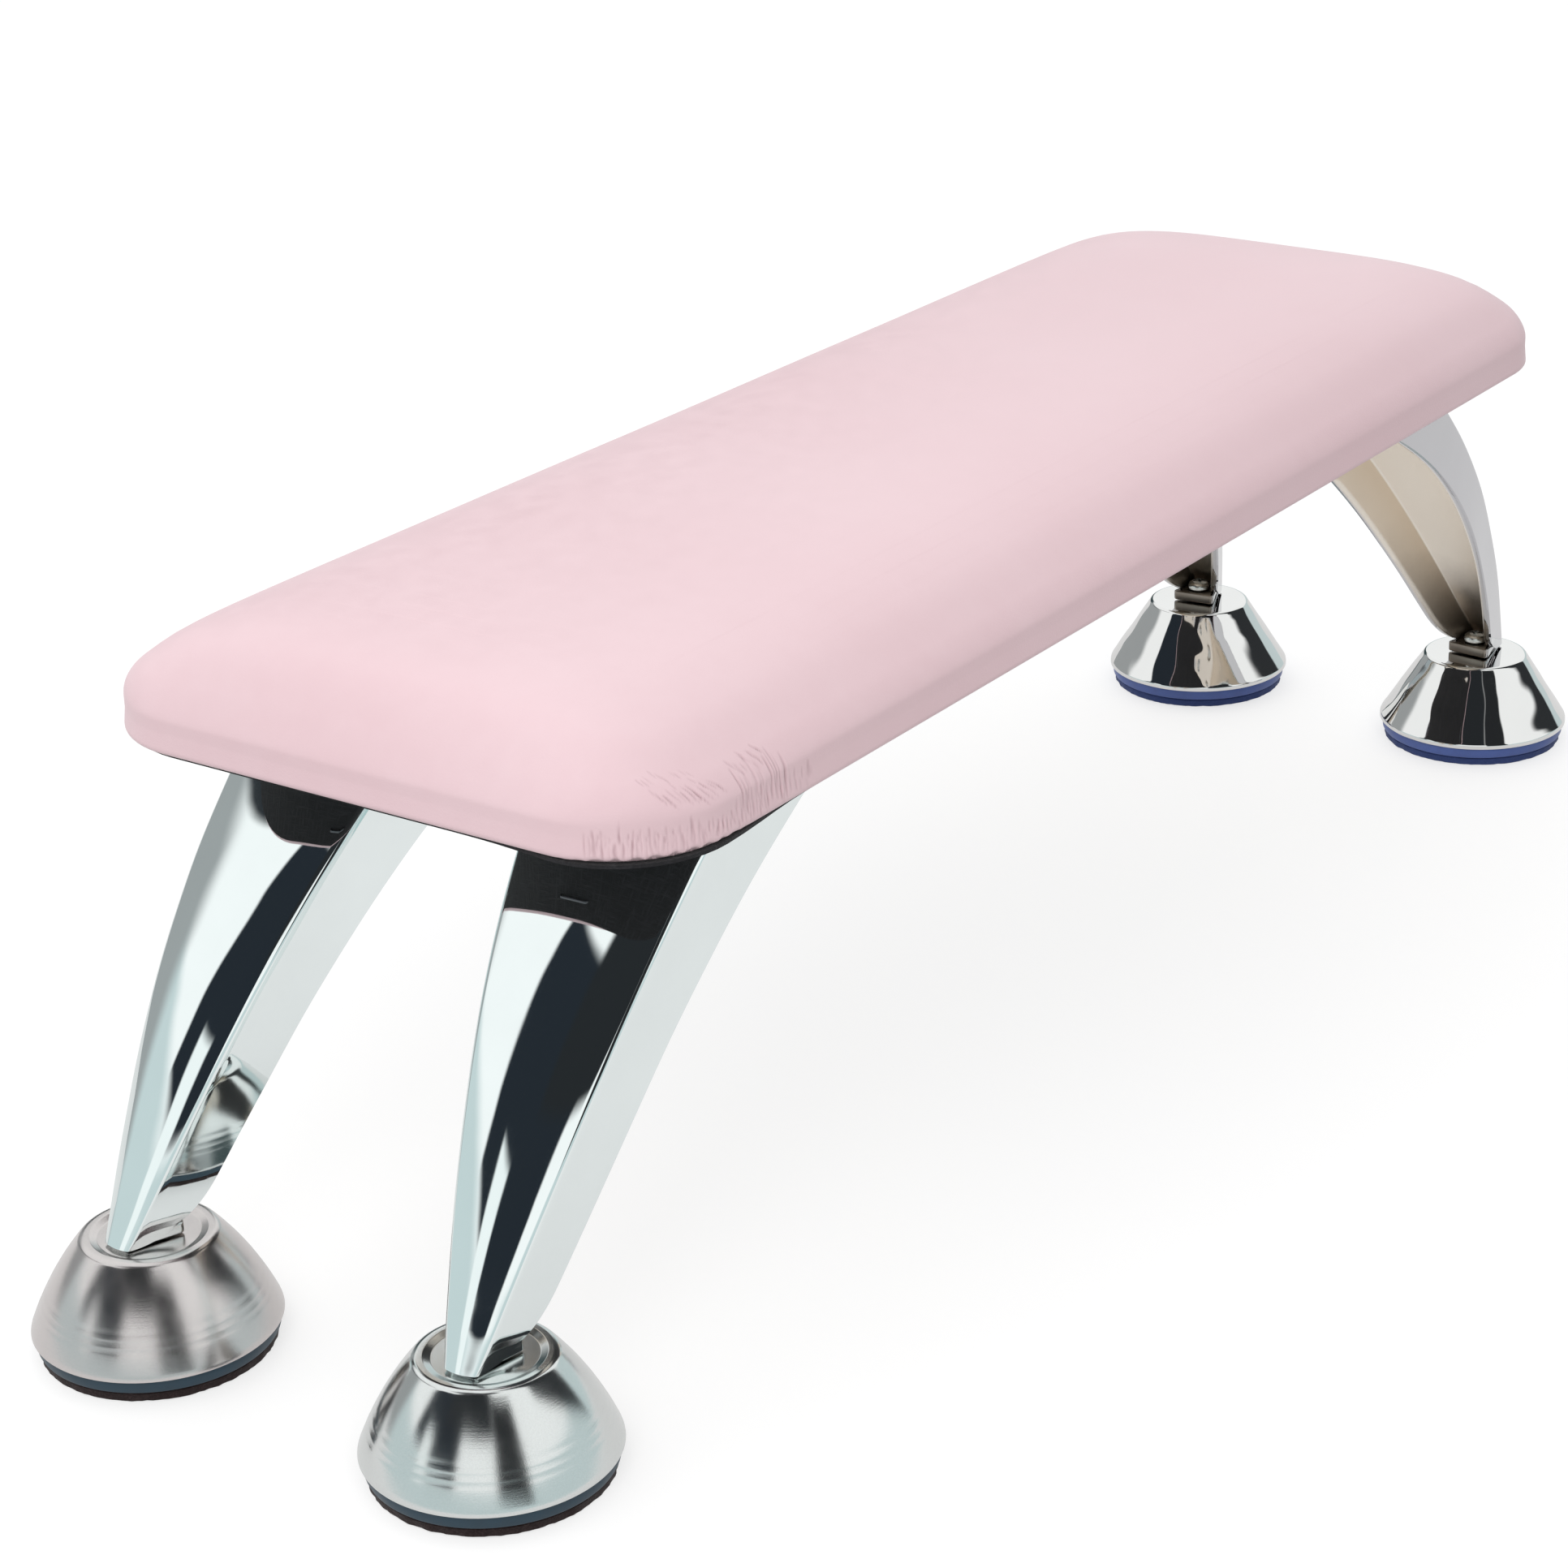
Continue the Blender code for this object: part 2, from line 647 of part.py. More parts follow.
def leg_mesh(cutters):
    """The whole leg: channel, mounting plate and sole in one casting, with its holes."""
    leg = bpy.data.objects.new("leg", channel_mesh())
    bpy.context.scene.collection.objects.link(leg)
    plate_mesh = outline_mesh("leg_plate", plate_outline(), leg_top - PLATE_THICKNESS, leg_top)
    sole_mesh = outline_mesh("leg_sole", sole_outline(), leg_bottom, leg_bottom + SOLE_THICKNESS)
    for name, mesh in (("leg_plate", plate_mesh), ("leg_sole", sole_mesh)):
        joined = bpy.data.objects.new(name, mesh)
        joined.display_type = "WIRE"
        joined.hide_render = True
        cutters.objects.link(joined)
        combine(leg, joined, "UNION")
    shape = bmesh.new()
    for place_at in screw_places():
        cylinder_cutter(shape, place_at, SCREW_RADIUS + GAP, leg_top - 2 * PLATE_THICKNESS,
                        leg_top + PLATE_THICKNESS)
    cylinder_cutter(shape, (0.0, 0.0), BOLT_RADIUS + GAP, leg_bottom - SOLE_THICKNESS,
                    leg_bottom + 2 * SOLE_THICKNESS)
    combine(leg, cutter_object("leg_holes", shape, cutters), "DIFFERENCE")
    mesh = evaluated_mesh(leg)
    shade_round(mesh)
    return mesh


def make_legs(materials, model, cutters):
    mesh = leg_mesh(cutters)
    for name, sides in CORNERS.items():
        place(mesh, f"leg_{name}", materials["chrome"], model, leg_matrix(*sides))


# Feet

def shell_profile():
    """The foot's cone from the bolt hole out and down to its rim."""
    points = [(BOLT_RADIUS + GAP, shell_top), (SHELL_SHOULDER, shell_top),
              (SHELL_RADIUS, shell_rim + SHELL_SKIRT), (SHELL_RADIUS, shell_rim)]
    rounded = round_corners(points, [SHELL_FILLET, SHELL_FILLET], SMALL_CORNER_STEPS)
    return [(point.x, point.y) for point in rounded]


def ring_profile():
    """The base ring: a visible band, a floor under the shell and a collar inside it."""
    collar = SHELL_RADIUS - SHELL_WALL - GAP
    collar_top = shell_rim + COLLAR_HEIGHT
    floor_top = ring_bottom + RING_FLOOR
    return [(collar, collar_top), (collar, ring_top), (RING_RADIUS, ring_top),
            (RING_RADIUS, ring_bottom), (RING_BORE, ring_bottom), (RING_BORE, floor_top),
            (collar - COLLAR_WALL, floor_top), (collar - COLLAR_WALL, collar_top)]


def nut_mesh():
    """A hexagon nut with a plain hole."""
    top = shell_top - SHELL_WALL - GAP
    bottom = top - NUT_HEIGHT
    radius = NUT_ACROSS_FLATS / math.sqrt(3)
    hexagon = [(radius * math.cos(math.radians(60 * i)), radius * math.sin(math.radians(60 * i)))
               for i in range(6)]
    nut = bpy.data.objects.new("nut", outline_mesh("nut", hexagon, bottom, top))
    bpy.context.scene.collection.objects.link(nut)
    shape = bmesh.new()
    cylinder_cutter(shape, (0.0, 0.0), BOLT_RADIUS + GAP, bottom - NUT_HEIGHT, top + NUT_HEIGHT)
    cutter = cutter_object("nut_hole", shape, bpy.context.scene.collection)
    combine(nut, cutter, "DIFFERENCE")
    mesh = evaluated_mesh(nut)
    bpy.data.objects.remove(cutter, do_unlink=True)
    return mesh


def make_feet(materials, model):
    shell = turned_mesh("foot_shell", shell_profile(), wall=SHELL_WALL)
    ring = turned_mesh("foot_ring", ring_profile(), closed=True)
    felt_profile = [(0.0, FELT_THICKNESS), (FELT_RADIUS, FELT_THICKNESS), (FELT_RADIUS, 0.0), (0.0, 0.0)]
    felt = turned_mesh("foot_felt", felt_profile)
    nut = nut_mesh()
    for name, sides in CORNERS.items():
        matrix = leg_matrix(*sides)
        place(shell, f"foot_shell_{name}", materials["chrome"], model, matrix)
        place(ring, f"foot_ring_{name}", materials["ring"], model, matrix)
        place(felt, f"foot_felt_{name}", materials["felt"], model, matrix)
        place(nut, f"foot_nut_{name}", materials["zinc"], model, matrix)


# Fasteners

def fastener_mesh(name, seat, way, head_radius, head_height, shank_radius, length):
    """A pan-headed screw on the Z axis. The head's seat is at a height, and the shank runs from it
    up, where way is 1, or down, where way is -1."""
    face = seat - way * head_height
    tip = seat + way * length
    profile = [(0.0, face), (head_radius * HEAD_FACE, face),
               (head_radius, seat - way * head_height * HEAD_SIDE), (head_radius, seat),
               (shank_radius, seat), (shank_radius, tip - way * shank_radius),
               (shank_radius * POINT_FACE, tip), (0.0, tip)]
    if way > 0:
        profile.reverse()
    screw = bpy.data.objects.new(name, turned_mesh(name, profile, steps=FASTENER_STEPS))
    bpy.context.scene.collection.objects.link(screw)
    shape = bmesh.new()
    arm = head_radius * RECESS_LENGTH
    for size in ((arm, RECESS_WIDTH), (RECESS_WIDTH, arm)):
        matrix = Matrix.Translation((0, 0, face)) @ Matrix.Diagonal((*size, 2 * RECESS_DEPTH, 1))
        bmesh.ops.create_cube(shape, size=1.0, matrix=matrix)
    cutter = cutter_object("recess", shape, bpy.context.scene.collection)
    cut = combine(screw, cutter, "DIFFERENCE")
    cut.use_self = True
    mesh = evaluated_mesh(screw)
    bpy.data.objects.remove(cutter, do_unlink=True)
    return mesh


def make_fasteners(materials, model):
    plate_seat = leg_top - PLATE_THICKNESS - GAP
    wood_screw = fastener_mesh("leg_screw", plate_seat, 1, SCREW_HEAD_RADIUS, SCREW_HEAD_HEIGHT,
                               SCREW_RADIUS, board_bottom + SCREW_BITE - plate_seat)
    sole_seat = leg_bottom + SOLE_THICKNESS + GAP
    nut_bottom = shell_top - SHELL_WALL - GAP - NUT_HEIGHT
    bolt = fastener_mesh("foot_bolt", sole_seat, -1, BOLT_HEAD_RADIUS, BOLT_HEAD_HEIGHT,
                         BOLT_RADIUS, sole_seat - nut_bottom + BOLT_TAIL)
    for name, sides in CORNERS.items():
        stand = leg_matrix(*sides)
        place(bolt, f"foot_bolt_{name}", materials["zinc"], model, stand)
        for number, (u, w) in enumerate(screw_places(), 1):
            place(wood_screw, f"leg_screw_{name}_{number}", materials["zinc"], model,
                  stand @ Matrix.Translation((u, w, 0.0)))


def screw_holes(cutters):
    """A cutter for every wood screw, through the dust cloth and the board."""
    shape = bmesh.new()
    for sides in CORNERS.values():
        for u, w in screw_places():
            centre = leg_matrix(*sides) @ Vector((u, w, 0.0))
            cylinder_cutter(shape, centre, SCREW_RADIUS + GAP, leg_top - PLATE_THICKNESS,
                            board_bottom + SCREW_BITE + GAP)
    return cutter_object("screw_holes", shape, cutters)


def main():
    clear_scene()
    model = new_collection("manicure_hand_rest")
    cutters = new_collection("cutters")
    materials = make_materials()
    slots = staple_slots(cutters)
    holes = screw_holes(cutters)
    make_cover(materials, model, slots)
    make_foam(materials, model)
    make_board(materials, model, slots, holes)
    make_cloth(materials, model, slots, holes)
    make_staples(materials, model)
    make_legs(materials, model, cutters)
    make_feet(materials, model)
    make_fasteners(materials, model)


main()
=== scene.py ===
import math

import bmesh
import bpy
import numpy as np
from mathutils import Matrix, Vector
from mathutils.bvhtree import BVHTree


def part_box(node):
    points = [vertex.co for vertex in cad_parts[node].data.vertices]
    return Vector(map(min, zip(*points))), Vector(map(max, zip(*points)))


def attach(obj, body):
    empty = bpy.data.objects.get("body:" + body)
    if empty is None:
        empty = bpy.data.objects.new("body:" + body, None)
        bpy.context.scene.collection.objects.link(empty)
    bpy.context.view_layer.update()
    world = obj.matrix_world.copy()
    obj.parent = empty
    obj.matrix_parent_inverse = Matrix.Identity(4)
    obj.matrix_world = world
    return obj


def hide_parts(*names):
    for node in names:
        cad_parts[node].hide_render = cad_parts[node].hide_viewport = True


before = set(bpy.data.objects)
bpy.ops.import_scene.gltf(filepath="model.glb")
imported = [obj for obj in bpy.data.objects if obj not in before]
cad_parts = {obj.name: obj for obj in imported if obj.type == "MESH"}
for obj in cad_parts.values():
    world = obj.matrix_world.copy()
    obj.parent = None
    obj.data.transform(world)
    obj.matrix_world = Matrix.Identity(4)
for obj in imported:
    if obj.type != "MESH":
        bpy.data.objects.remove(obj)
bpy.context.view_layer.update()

# The scene around the manicure hand rest. Metres, with the pad along X and its near end at -X.
corners = {"front_left": (-1, 1), "front_right": (-1, -1), "rear_left": (1, 1), "rear_right": (1, -1)}


# Small helpers

def linkObject(name, data):
    item = bpy.data.objects.new(name, data)
    bpy.context.scene.collection.objects.link(item)
    return item


def meshFrom(name, points, faces, sharp=40):
    mesh = bpy.data.meshes.new(name)
    mesh.from_pydata([tuple(p) for p in points], [], [tuple(f) for f in faces])
    mesh.update()
    mesh.shade_smooth()
    mesh.set_sharp_from_angle(angle=math.radians(sharp))
    return mesh


def meshOf(name, shape):
    # the mesh of a finished bmesh
    mesh = bpy.data.meshes.new(name)
    shape.to_mesh(mesh)
    shape.free()
    return mesh


def shapeOf(points, faces):
    shape = bmesh.new()
    made = [shape.verts.new(p) for p in points]
    for face in faces:
        shape.faces.new([made[k] for k in face])
    return shape


def bridged(count, rings, closed=False):
    # quads between rings of points that are stored one after another
    faces = []
    for k in range(rings if closed else rings - 1):
        here, there = k * count, (k + 1) % rings * count
        for i in range(count):
            j = (i + 1) % count
            faces.append((here + i, there + i, there + j, here + j))
    return faces


def cutWith(item, tool, operation="DIFFERENCE"):
    cut = item.modifiers.new(tool.name, "BOOLEAN")
    cut.operation = operation
    cut.object = tool
    cut.solver = "EXACT"
    return cut


def bakedObject(item, name, sharp=40):
    # the object as evaluated, as a plain mesh with no modifiers
    bpy.context.view_layer.update()
    graph = bpy.context.evaluated_depsgraph_get()
    mesh = bpy.data.meshes.new_from_object(item.evaluated_get(graph), depsgraph=graph)
    mesh.transform(item.matrix_world)
    mesh.name = name
    bpy.data.objects.remove(item, do_unlink=True)
    mesh.shade_smooth()
    mesh.set_sharp_from_angle(angle=math.radians(sharp))
    return linkObject(name, mesh)


def finishPiece(item, material, slot, *nodes):
    item.data.materials.clear()
    item.data.materials.append(material)
    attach(item, "root")
    if nodes:
        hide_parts(*nodes)
    return item


def noise3(points, scale, seed, count=24):
    # smooth noise from a sum of random waves, about -1 to 1
    rng = np.random.default_rng(seed)
    ways = rng.normal(size=(count, 3)) * scale
    phases = rng.uniform(0, 2 * math.pi, count)
    return np.sin(points @ ways.T + phases).sum(axis=1) / math.sqrt(count)


# Materials

def newMaterial(name, colour, roughness, metallic=0.0, specular=0.5):
    material = bpy.data.materials.new(name)
    material.use_nodes = True
    shader = material.node_tree.nodes["Principled BSDF"]
    shader.inputs["Base Color"].default_value = (*colour, 1.0)
    shader.inputs["Roughness"].default_value = roughness
    shader.inputs["Metallic"].default_value = metallic
    shader.inputs["Specular IOR Level"].default_value = specular
    return material, material.node_tree, shader


def addNode(tree, kind, **settings):
    node = tree.nodes.new(kind)
    for key, value in settings.items():
        if key in node.inputs:
            node.inputs[key].default_value = value
        else:
            setattr(node, key, value)
    return node


def placeNode(tree, centre=(0, 0, 0), stretch=(1, 1, 1), turn=0.0):
    # Object coordinates, moved to the piece's own middle
    where = addNode(tree, "ShaderNodeTexCoord")
    mapping = addNode(tree, "ShaderNodeMapping", vector_type="POINT")
    mapping.inputs["Location"].default_value = [-c * s for c, s in zip(centre, stretch)]
    mapping.inputs["Scale"].default_value = stretch
    mapping.inputs["Rotation"].default_value = (0, 0, turn)
    tree.links.new(where.outputs["Object"], mapping.inputs["Vector"])
    return mapping.outputs["Vector"]


def noiseNode(tree, vector, scale, detail=2.0, roughness=0.5):
    node = addNode(tree, "ShaderNodeTexNoise", Scale=scale, Detail=detail, Roughness=roughness)
    tree.links.new(vector, node.inputs["Vector"])
    return node.outputs["Fac"]


def rangeNode(tree, value, low, high, newLow=0, newHigh=1, kind="LINEAR"):
    node = addNode(tree, "ShaderNodeMapRange", interpolation_type=kind)
    for key, number in zip(("From Min", "From Max", "To Min", "To Max"), (low, high, newLow, newHigh)):
        node.inputs[key].default_value = number
    tree.links.new(value, node.inputs["Value"])
    return node.outputs["Result"]


def mixColours(tree, factor, first, second):
    node = addNode(tree, "ShaderNodeMix", data_type="RGBA")
    for socket, colour in ((node.inputs[6], first), (node.inputs[7], second)):
        if isinstance(colour, bpy.types.NodeSocket):
            tree.links.new(colour, socket)
        else:
            socket.default_value = (*colour, 1.0)
    tree.links.new(factor, node.inputs[0])
    return node.outputs[2]


def bumpNode(tree, height, strength, distance, before=None):
    node = addNode(tree, "ShaderNodeBump", Strength=strength, Distance=distance)
    tree.links.new(height, node.inputs["Height"])
    if before is not None:
        tree.links.new(before, node.inputs["Normal"])
    return node.outputs["Normal"]


def mathNode(tree, operation, first, second=None):
    node = addNode(tree, "ShaderNodeMath", operation=operation)
    for socket, value in zip(node.inputs, (first, second)):
        if isinstance(value, bpy.types.NodeSocket):
            tree.links.new(value, socket)
        elif value is not None:
            socket.default_value = value
    return node.outputs[0]


def feed(shader, colour=None, roughness=None, normal=None):
    for label, value in (("Base Color", colour), ("Roughness", roughness), ("Normal", normal)):
        if value is not None:
            shader.id_data.links.new(value, shader.inputs[label])


leatherLook = {
    "light": (0.800, 0.596, 0.632),
    "deep": (0.775, 0.562, 0.598),
    # painted shade in the pleats' grooves: the colour they darken towards, and how strongly
    "creaseShade": (0.40, 0.24, 0.27),
    "creaseShadeStrength": 0.7,
    "roughness": (0.40, 0.50),
    "poreScale": 1500,      # cells a metre
    "poreDepth": 0.00004,
}


def leatherMaterial():
    look = leatherLook
    material, tree, shader = newMaterial("pinkLeather", look["light"], 0.45, specular=0.42)
    at = placeNode(tree)
    fine = noiseNode(tree, at, 220, 4)
    shade = mathNode(tree, "ADD", mathNode(tree, "MULTIPLY", noiseNode(tree, at, 14, 3), 0.7),
                     mathNode(tree, "MULTIPLY", fine, 0.3))
    colour = mixColours(tree, rangeNode(tree, shade, 0.35, 0.65), look["deep"], look["light"])
    # painted shade: the colour darkens in the pleats' grooves, by how deep each point lies in one
    creaseShade = addNode(tree, "ShaderNodeAttribute", attribute_name="creaseShade").outputs["Fac"]
    creaseShaded = mixColours(tree, mathNode(tree, "MULTIPLY", creaseShade, look["creaseShadeStrength"]), colour, look["creaseShade"])
    pores = addNode(tree, "ShaderNodeTexVoronoi", feature="DISTANCE_TO_EDGE", Scale=look["poreScale"])
    tree.links.new(at, pores.inputs["Vector"])
    grain = noiseNode(tree, at, look["poreScale"] * 0.7, 3, 0.6)
    walls = rangeNode(tree, pores.outputs["Distance"], 0, 0.25)
    poreBump = bumpNode(tree, walls, 0.16, look["poreDepth"])
    feed(shader, creaseShaded, rangeNode(tree, fine, 0.3, 0.7, *look["roughness"]),
         bumpNode(tree, grain, 0.16, look["poreDepth"], poreBump))
    shader.inputs["Sheen Weight"].default_value = 0.08
    shader.inputs["Sheen Roughness"].default_value = 0.4
    return material


# painted shade inside the leg's channel: the colour goes from low near the foot to high further up
insideLook = {
    "low": (0.12, 0.09, 0.07),
    "high": (0.90, 0.83, 0.74),
    "rise": (0.022, 0.052),     # heights between which the colour goes from low to high
    "roughness": 0.32,
}


def chromeMaterial(name, colour, roughness, waviness):
    material, tree, shader = newMaterial(name, colour, roughness, 1.0)
    at = placeNode(tree)
    smudge = noiseNode(tree, at, 70, 4, 0.6)
    scratch = noiseNode(tree, placeNode(tree, stretch=(1, 1, 0.08)), 2600, 2, 0.7)
    worn = mathNode(tree, "ADD", rangeNode(tree, smudge, 0.45, 0.8, 0, 0.035),
                    rangeNode(tree, scratch, 0.66, 0.8, 0, 0.05))
    # the inside of a leg is plated, but not polished, and its colour is painted shade: near black at the
    # foot, pale beige higher up
    inside = addNode(tree, "ShaderNodeAttribute", attribute_name="inside").outputs["Fac"]
    uneven = mathNode(tree, "ADD", heightOf(tree, at), mathNode(tree, "MULTIPLY", smudge, 0.012))
    risen = rangeNode(tree, uneven, *insideLook["rise"])
    unpolishedShaded = mixColours(tree, risen, insideLook["low"], insideLook["high"])
    rough = mathNode(tree, "MAXIMUM", mathNode(tree, "ADD", worn, roughness),
                     mathNode(tree, "MULTIPLY", inside, insideLook["roughness"]))
    tint = mixColours(tree, smudge, colour, [c * 0.93 for c in colour])
    feed(shader, mixColours(tree, inside, tint, unpolishedShaded), rough,
         bumpNode(tree, noiseNode(tree, at, 55, 2, 0.4), 0.5, waviness))
    return material


def heightOf(tree, vector):
    apart = addNode(tree, "ShaderNodeSeparateXYZ")
    tree.links.new(vector, apart.inputs[0])
    return apart.outputs["Z"]


def satinMaterial(name, colour, centre, roughness):
    # plated steel that was turned and only lightly polished: fine rings around its axis, and a grain
    material, tree, shader = newMaterial(name, colour, 0.25, 1.0)
    at = placeNode(tree, centre)
    turned = addNode(tree, "ShaderNodeTexNoise", noise_dimensions="1D", Scale=3200, Detail=3)
    tree.links.new(heightOf(tree, at), turned.inputs["W"])
    grain = noiseNode(tree, at, 4200, 3, 0.7)
    cloud = noiseNode(tree, at, 120, 4, 0.6)
    tint = mixColours(tree, rangeNode(tree, grain, 0.3, 0.7), [c * 0.93 for c in colour], colour)
    ringBump = bumpNode(tree, turned.outputs["Fac"], 0.10, 0.00003)
    feed(shader, tint, rangeNode(tree, cloud, 0.3, 0.7, *roughness),
         bumpNode(tree, grain, 0.35, 0.00002, ringBump))
    return material


def plasticMaterial(name, colour):
    material, tree, shader = newMaterial(name, colour, 0.38)
    at = placeNode(tree)
    cloud = noiseNode(tree, at, 260, 4, 0.6)
    feed(shader, mixColours(tree, cloud, [c * 0.8 for c in colour], [min(c * 1.2, 1) for c in colour]),
         rangeNode(tree, cloud, 0.3, 0.7, 0.30, 0.46),
         bumpNode(tree, noiseNode(tree, at, 1600, 2), 0.2, 0.00005))
    return material


def feltMaterial(name, dark, light, scale):
    # pressed or bonded fibres, lying every way
    material, tree, shader = newMaterial(name, dark, 0.95, specular=0.15)
    first, second = [noiseNode(tree, placeNode(tree, stretch=stretch, turn=turn), scale, 3, 0.7)
                     for stretch, turn in (((1, 0.12, 1), 0.6), ((0.12, 1, 1), -0.4))]
    fibres = mathNode(tree, "MAXIMUM", first, second)
    patches = noiseNode(tree, placeNode(tree), scale * 0.1, 2)
    mixed = mathNode(tree, "MULTIPLY", rangeNode(tree, fibres, 0.5, 0.8), patches)
    feed(shader, mixColours(tree, mixed, dark, light), normal=bumpNode(tree, fibres, 0.8, 0.00025))
    shader.inputs["Sheen Weight"].default_value = 0.15
    return material


def plywoodMaterial():
    material, tree, shader = newMaterial("plywood", (0.50, 0.34, 0.19), 0.75, specular=0.25)
    grain = noiseNode(tree, placeNode(tree, stretch=(0.05, 1, 1)), 420, 5, 0.65)
    plies = addNode(tree, "ShaderNodeTexWave", bands_direction="Z", Scale=260, Distortion=0.6)
    tree.links.new(placeNode(tree), plies.inputs["Vector"])
    mixed = mathNode(tree, "ADD", mathNode(tree, "MULTIPLY", grain, 0.7),
                     mathNode(tree, "MULTIPLY", plies.outputs["Fac"], 0.3))
    feed(shader, mixColours(tree, mixed, (0.34, 0.21, 0.11), (0.66, 0.48, 0.29)),
         normal=bumpNode(tree, grain, 0.4, 0.0002))
    return material


def steelMaterial(name, colour, roughness):
    material, tree, shader = newMaterial(name, colour, roughness, 1.0)
    at = placeNode(tree)
    cloud = noiseNode(tree, at, 500, 4, 0.6)
    feed(shader, mixColours(tree, cloud, [c * 0.7 for c in colour], colour),
         rangeNode(tree, cloud, 0.3, 0.7, roughness * 0.7, roughness * 1.4),
         bumpNode(tree, noiseNode(tree, at, 2400, 2), 0.2, 0.00003))
    return material


def foamMaterial():
    material, tree, shader = newMaterial("foam", (0.85, 0.78, 0.58), 0.95, specular=0.1)
    cells = addNode(tree, "ShaderNodeTexVoronoi", feature="F1", Scale=1300)
    tree.links.new(placeNode(tree), cells.inputs["Vector"])
    depth = cells.outputs["Distance"]
    # painted shade: the foam is darker in its cells' hollows, where the bump sinks
    feed(shader, mixColours(tree, depth, (0.60, 0.52, 0.34), (0.90, 0.84, 0.64)),
         normal=bumpNode(tree, depth, 0.8, 0.0004))
    return material


looks = {
    "leather": leatherMaterial(),
    # painted light and shade on one chrome: the near legs get a lighter, teal-tinted copy, the far legs a
    # darker grey one
    "litNearChrome": chromeMaterial("litNearChrome", (0.90, 0.955, 0.95), 0.025, 0.00012),
    "shadedFarChrome": chromeMaterial("shadedFarChrome", (0.61, 0.605, 0.625), 0.025, 0.00012),
    "farCone": chromeMaterial("farCone", (0.84, 0.835, 0.825), 0.03, 0.00010),
    "nearRing": plasticMaterial("slateRing", (0.018, 0.046, 0.070)),
    "farRing": plasticMaterial("blueRing", (0.070, 0.115, 0.340)),
    "felt": feltMaterial("felt", (0.022, 0.014, 0.014), (0.09, 0.06, 0.06), 2600),
    # the far felt pads are dark navy, the tone of the rings' shaded lower side, which is painted shade
    "farFeltRingShade": feltMaterial("farFeltRingShade", (0.038, 0.060, 0.175), (0.07, 0.10, 0.25), 2600),
    "cloth": feltMaterial("dustCloth", (0.020, 0.020, 0.022), (0.050, 0.050, 0.055), 1500),
    "plywood": plywoodMaterial(),
    "foam": foamMaterial(),
    "wire": steelMaterial("stapleWire", (0.16, 0.165, 0.18), 0.35),
    "zinc": steelMaterial("zincPlate", (0.72, 0.72, 0.69), 0.22),
}
print("materials made:", len(looks))


# The pad: one closed leather skin over a foam cushion

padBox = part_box("leather_cover")
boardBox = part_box("base_board")
pad = {
    "length": padBox[1].x - padBox[0].x,
    "width": padBox[1].y - padBox[0].y,
    "bottom": padBox[0].z,
    "corner": 0.0205,
    "wall": 0.0060,
    "edgeRoll": 0.0036,
    "edgeRise": 0.0026,
    "crown": 0.0131,
    "roll": 0.012,
    "rollFullness": 2.2,
    "endFullness": 24,
    "sideFullness": 4.5,
    "lowerEdge": 0.0012,
    "hem": 0.014,
    "leather": 0.0010,
    "fine": 0.00022,       # spacing of points at the gathered corner
    "fineReach": (0.040, 0.024),
    "coarse": 0.0024,
    "swell": 0.0007,       # how far the simulated swelling moves the skin
    "unevenness": 0.00012,
    "gather": (0.060, 0.014),    # middle and half length of the gathered stretch of the edge
    "foamInset": 0.0024,
    "foamLift": 0.0003,    # gap to the board
}


def insetLines(length, fineReach):
    # positions from one side to the other: crowded at both edges, and fine over a stretch of the first
    halves = []
    for step, growth, reach in ((pad["fine"], 1.16, fineReach), (0.0004, 1.25, -1)):
        side = [0, 0.00003, 0.0001, 0.00022, 0.0004, 0.00065, 0.001]
        while side[-1] < length / 2:
            if side[-1] > reach:
                step = min(step * growth, pad["coarse"])
            side.append(side[-1] + step)
        halves.append(np.array(side) * (length / 2 / side[-1]))
    low, high = halves
    return np.concatenate([low - length / 2, (length / 2 - high)[::-1][1:]])


def roundedPlace(x, y):
    # moves a point of the sharp rectangle to the same place on a rounded one, ring by ring
    halfX, halfY, corner = pad["length"] / 2, pad["width"] / 2, pad["corner"]
    inX, inY = halfX - np.abs(x), halfY - np.abs(y)
    depth = np.minimum(inX, inY)
    radius = np.maximum(corner - depth, 1e-9)
    past = np.maximum(inX, inY) - depth
    angle = math.pi / 4 * np.clip(past / radius, 0, 1)
    turned = (past < radius) & (depth < corner)
    towardsX = inX <= inY       # the point lies on a ring's end, not on its long side
    wide, slim = np.cos(math.pi / 4 - angle), np.sin(math.pi / 4 - angle)
    newX = np.where(turned, halfX - depth - radius + radius * np.where(towardsX, wide, slim), np.abs(x))
    newY = np.where(turned, halfY - depth - radius + radius * np.where(towardsX, slim, wide), np.abs(y))
    return np.sign(x) * newX, np.sign(y) * newY, depth


def crownHeight(x, y, depth):
    edge = np.sqrt(1 - (1 - np.clip(depth / pad["edgeRoll"], 0, 1)) ** 2)
    share = np.clip(depth / pad["roll"], 0, 1)
    roll = (1 - (1 - share) ** pad["rollFullness"]) ** (1 / pad["rollFullness"])
    along = np.maximum(1 - np.abs(2 * x / pad["length"]) ** pad["endFullness"], 0)
    across = np.maximum(1 - np.abs(2 * y / pad["width"]) ** pad["sideFullness"], 0)
    return pad["bottom"] + pad["wall"] + pad["edgeRise"] * edge + pad["crown"] * roll * along * across


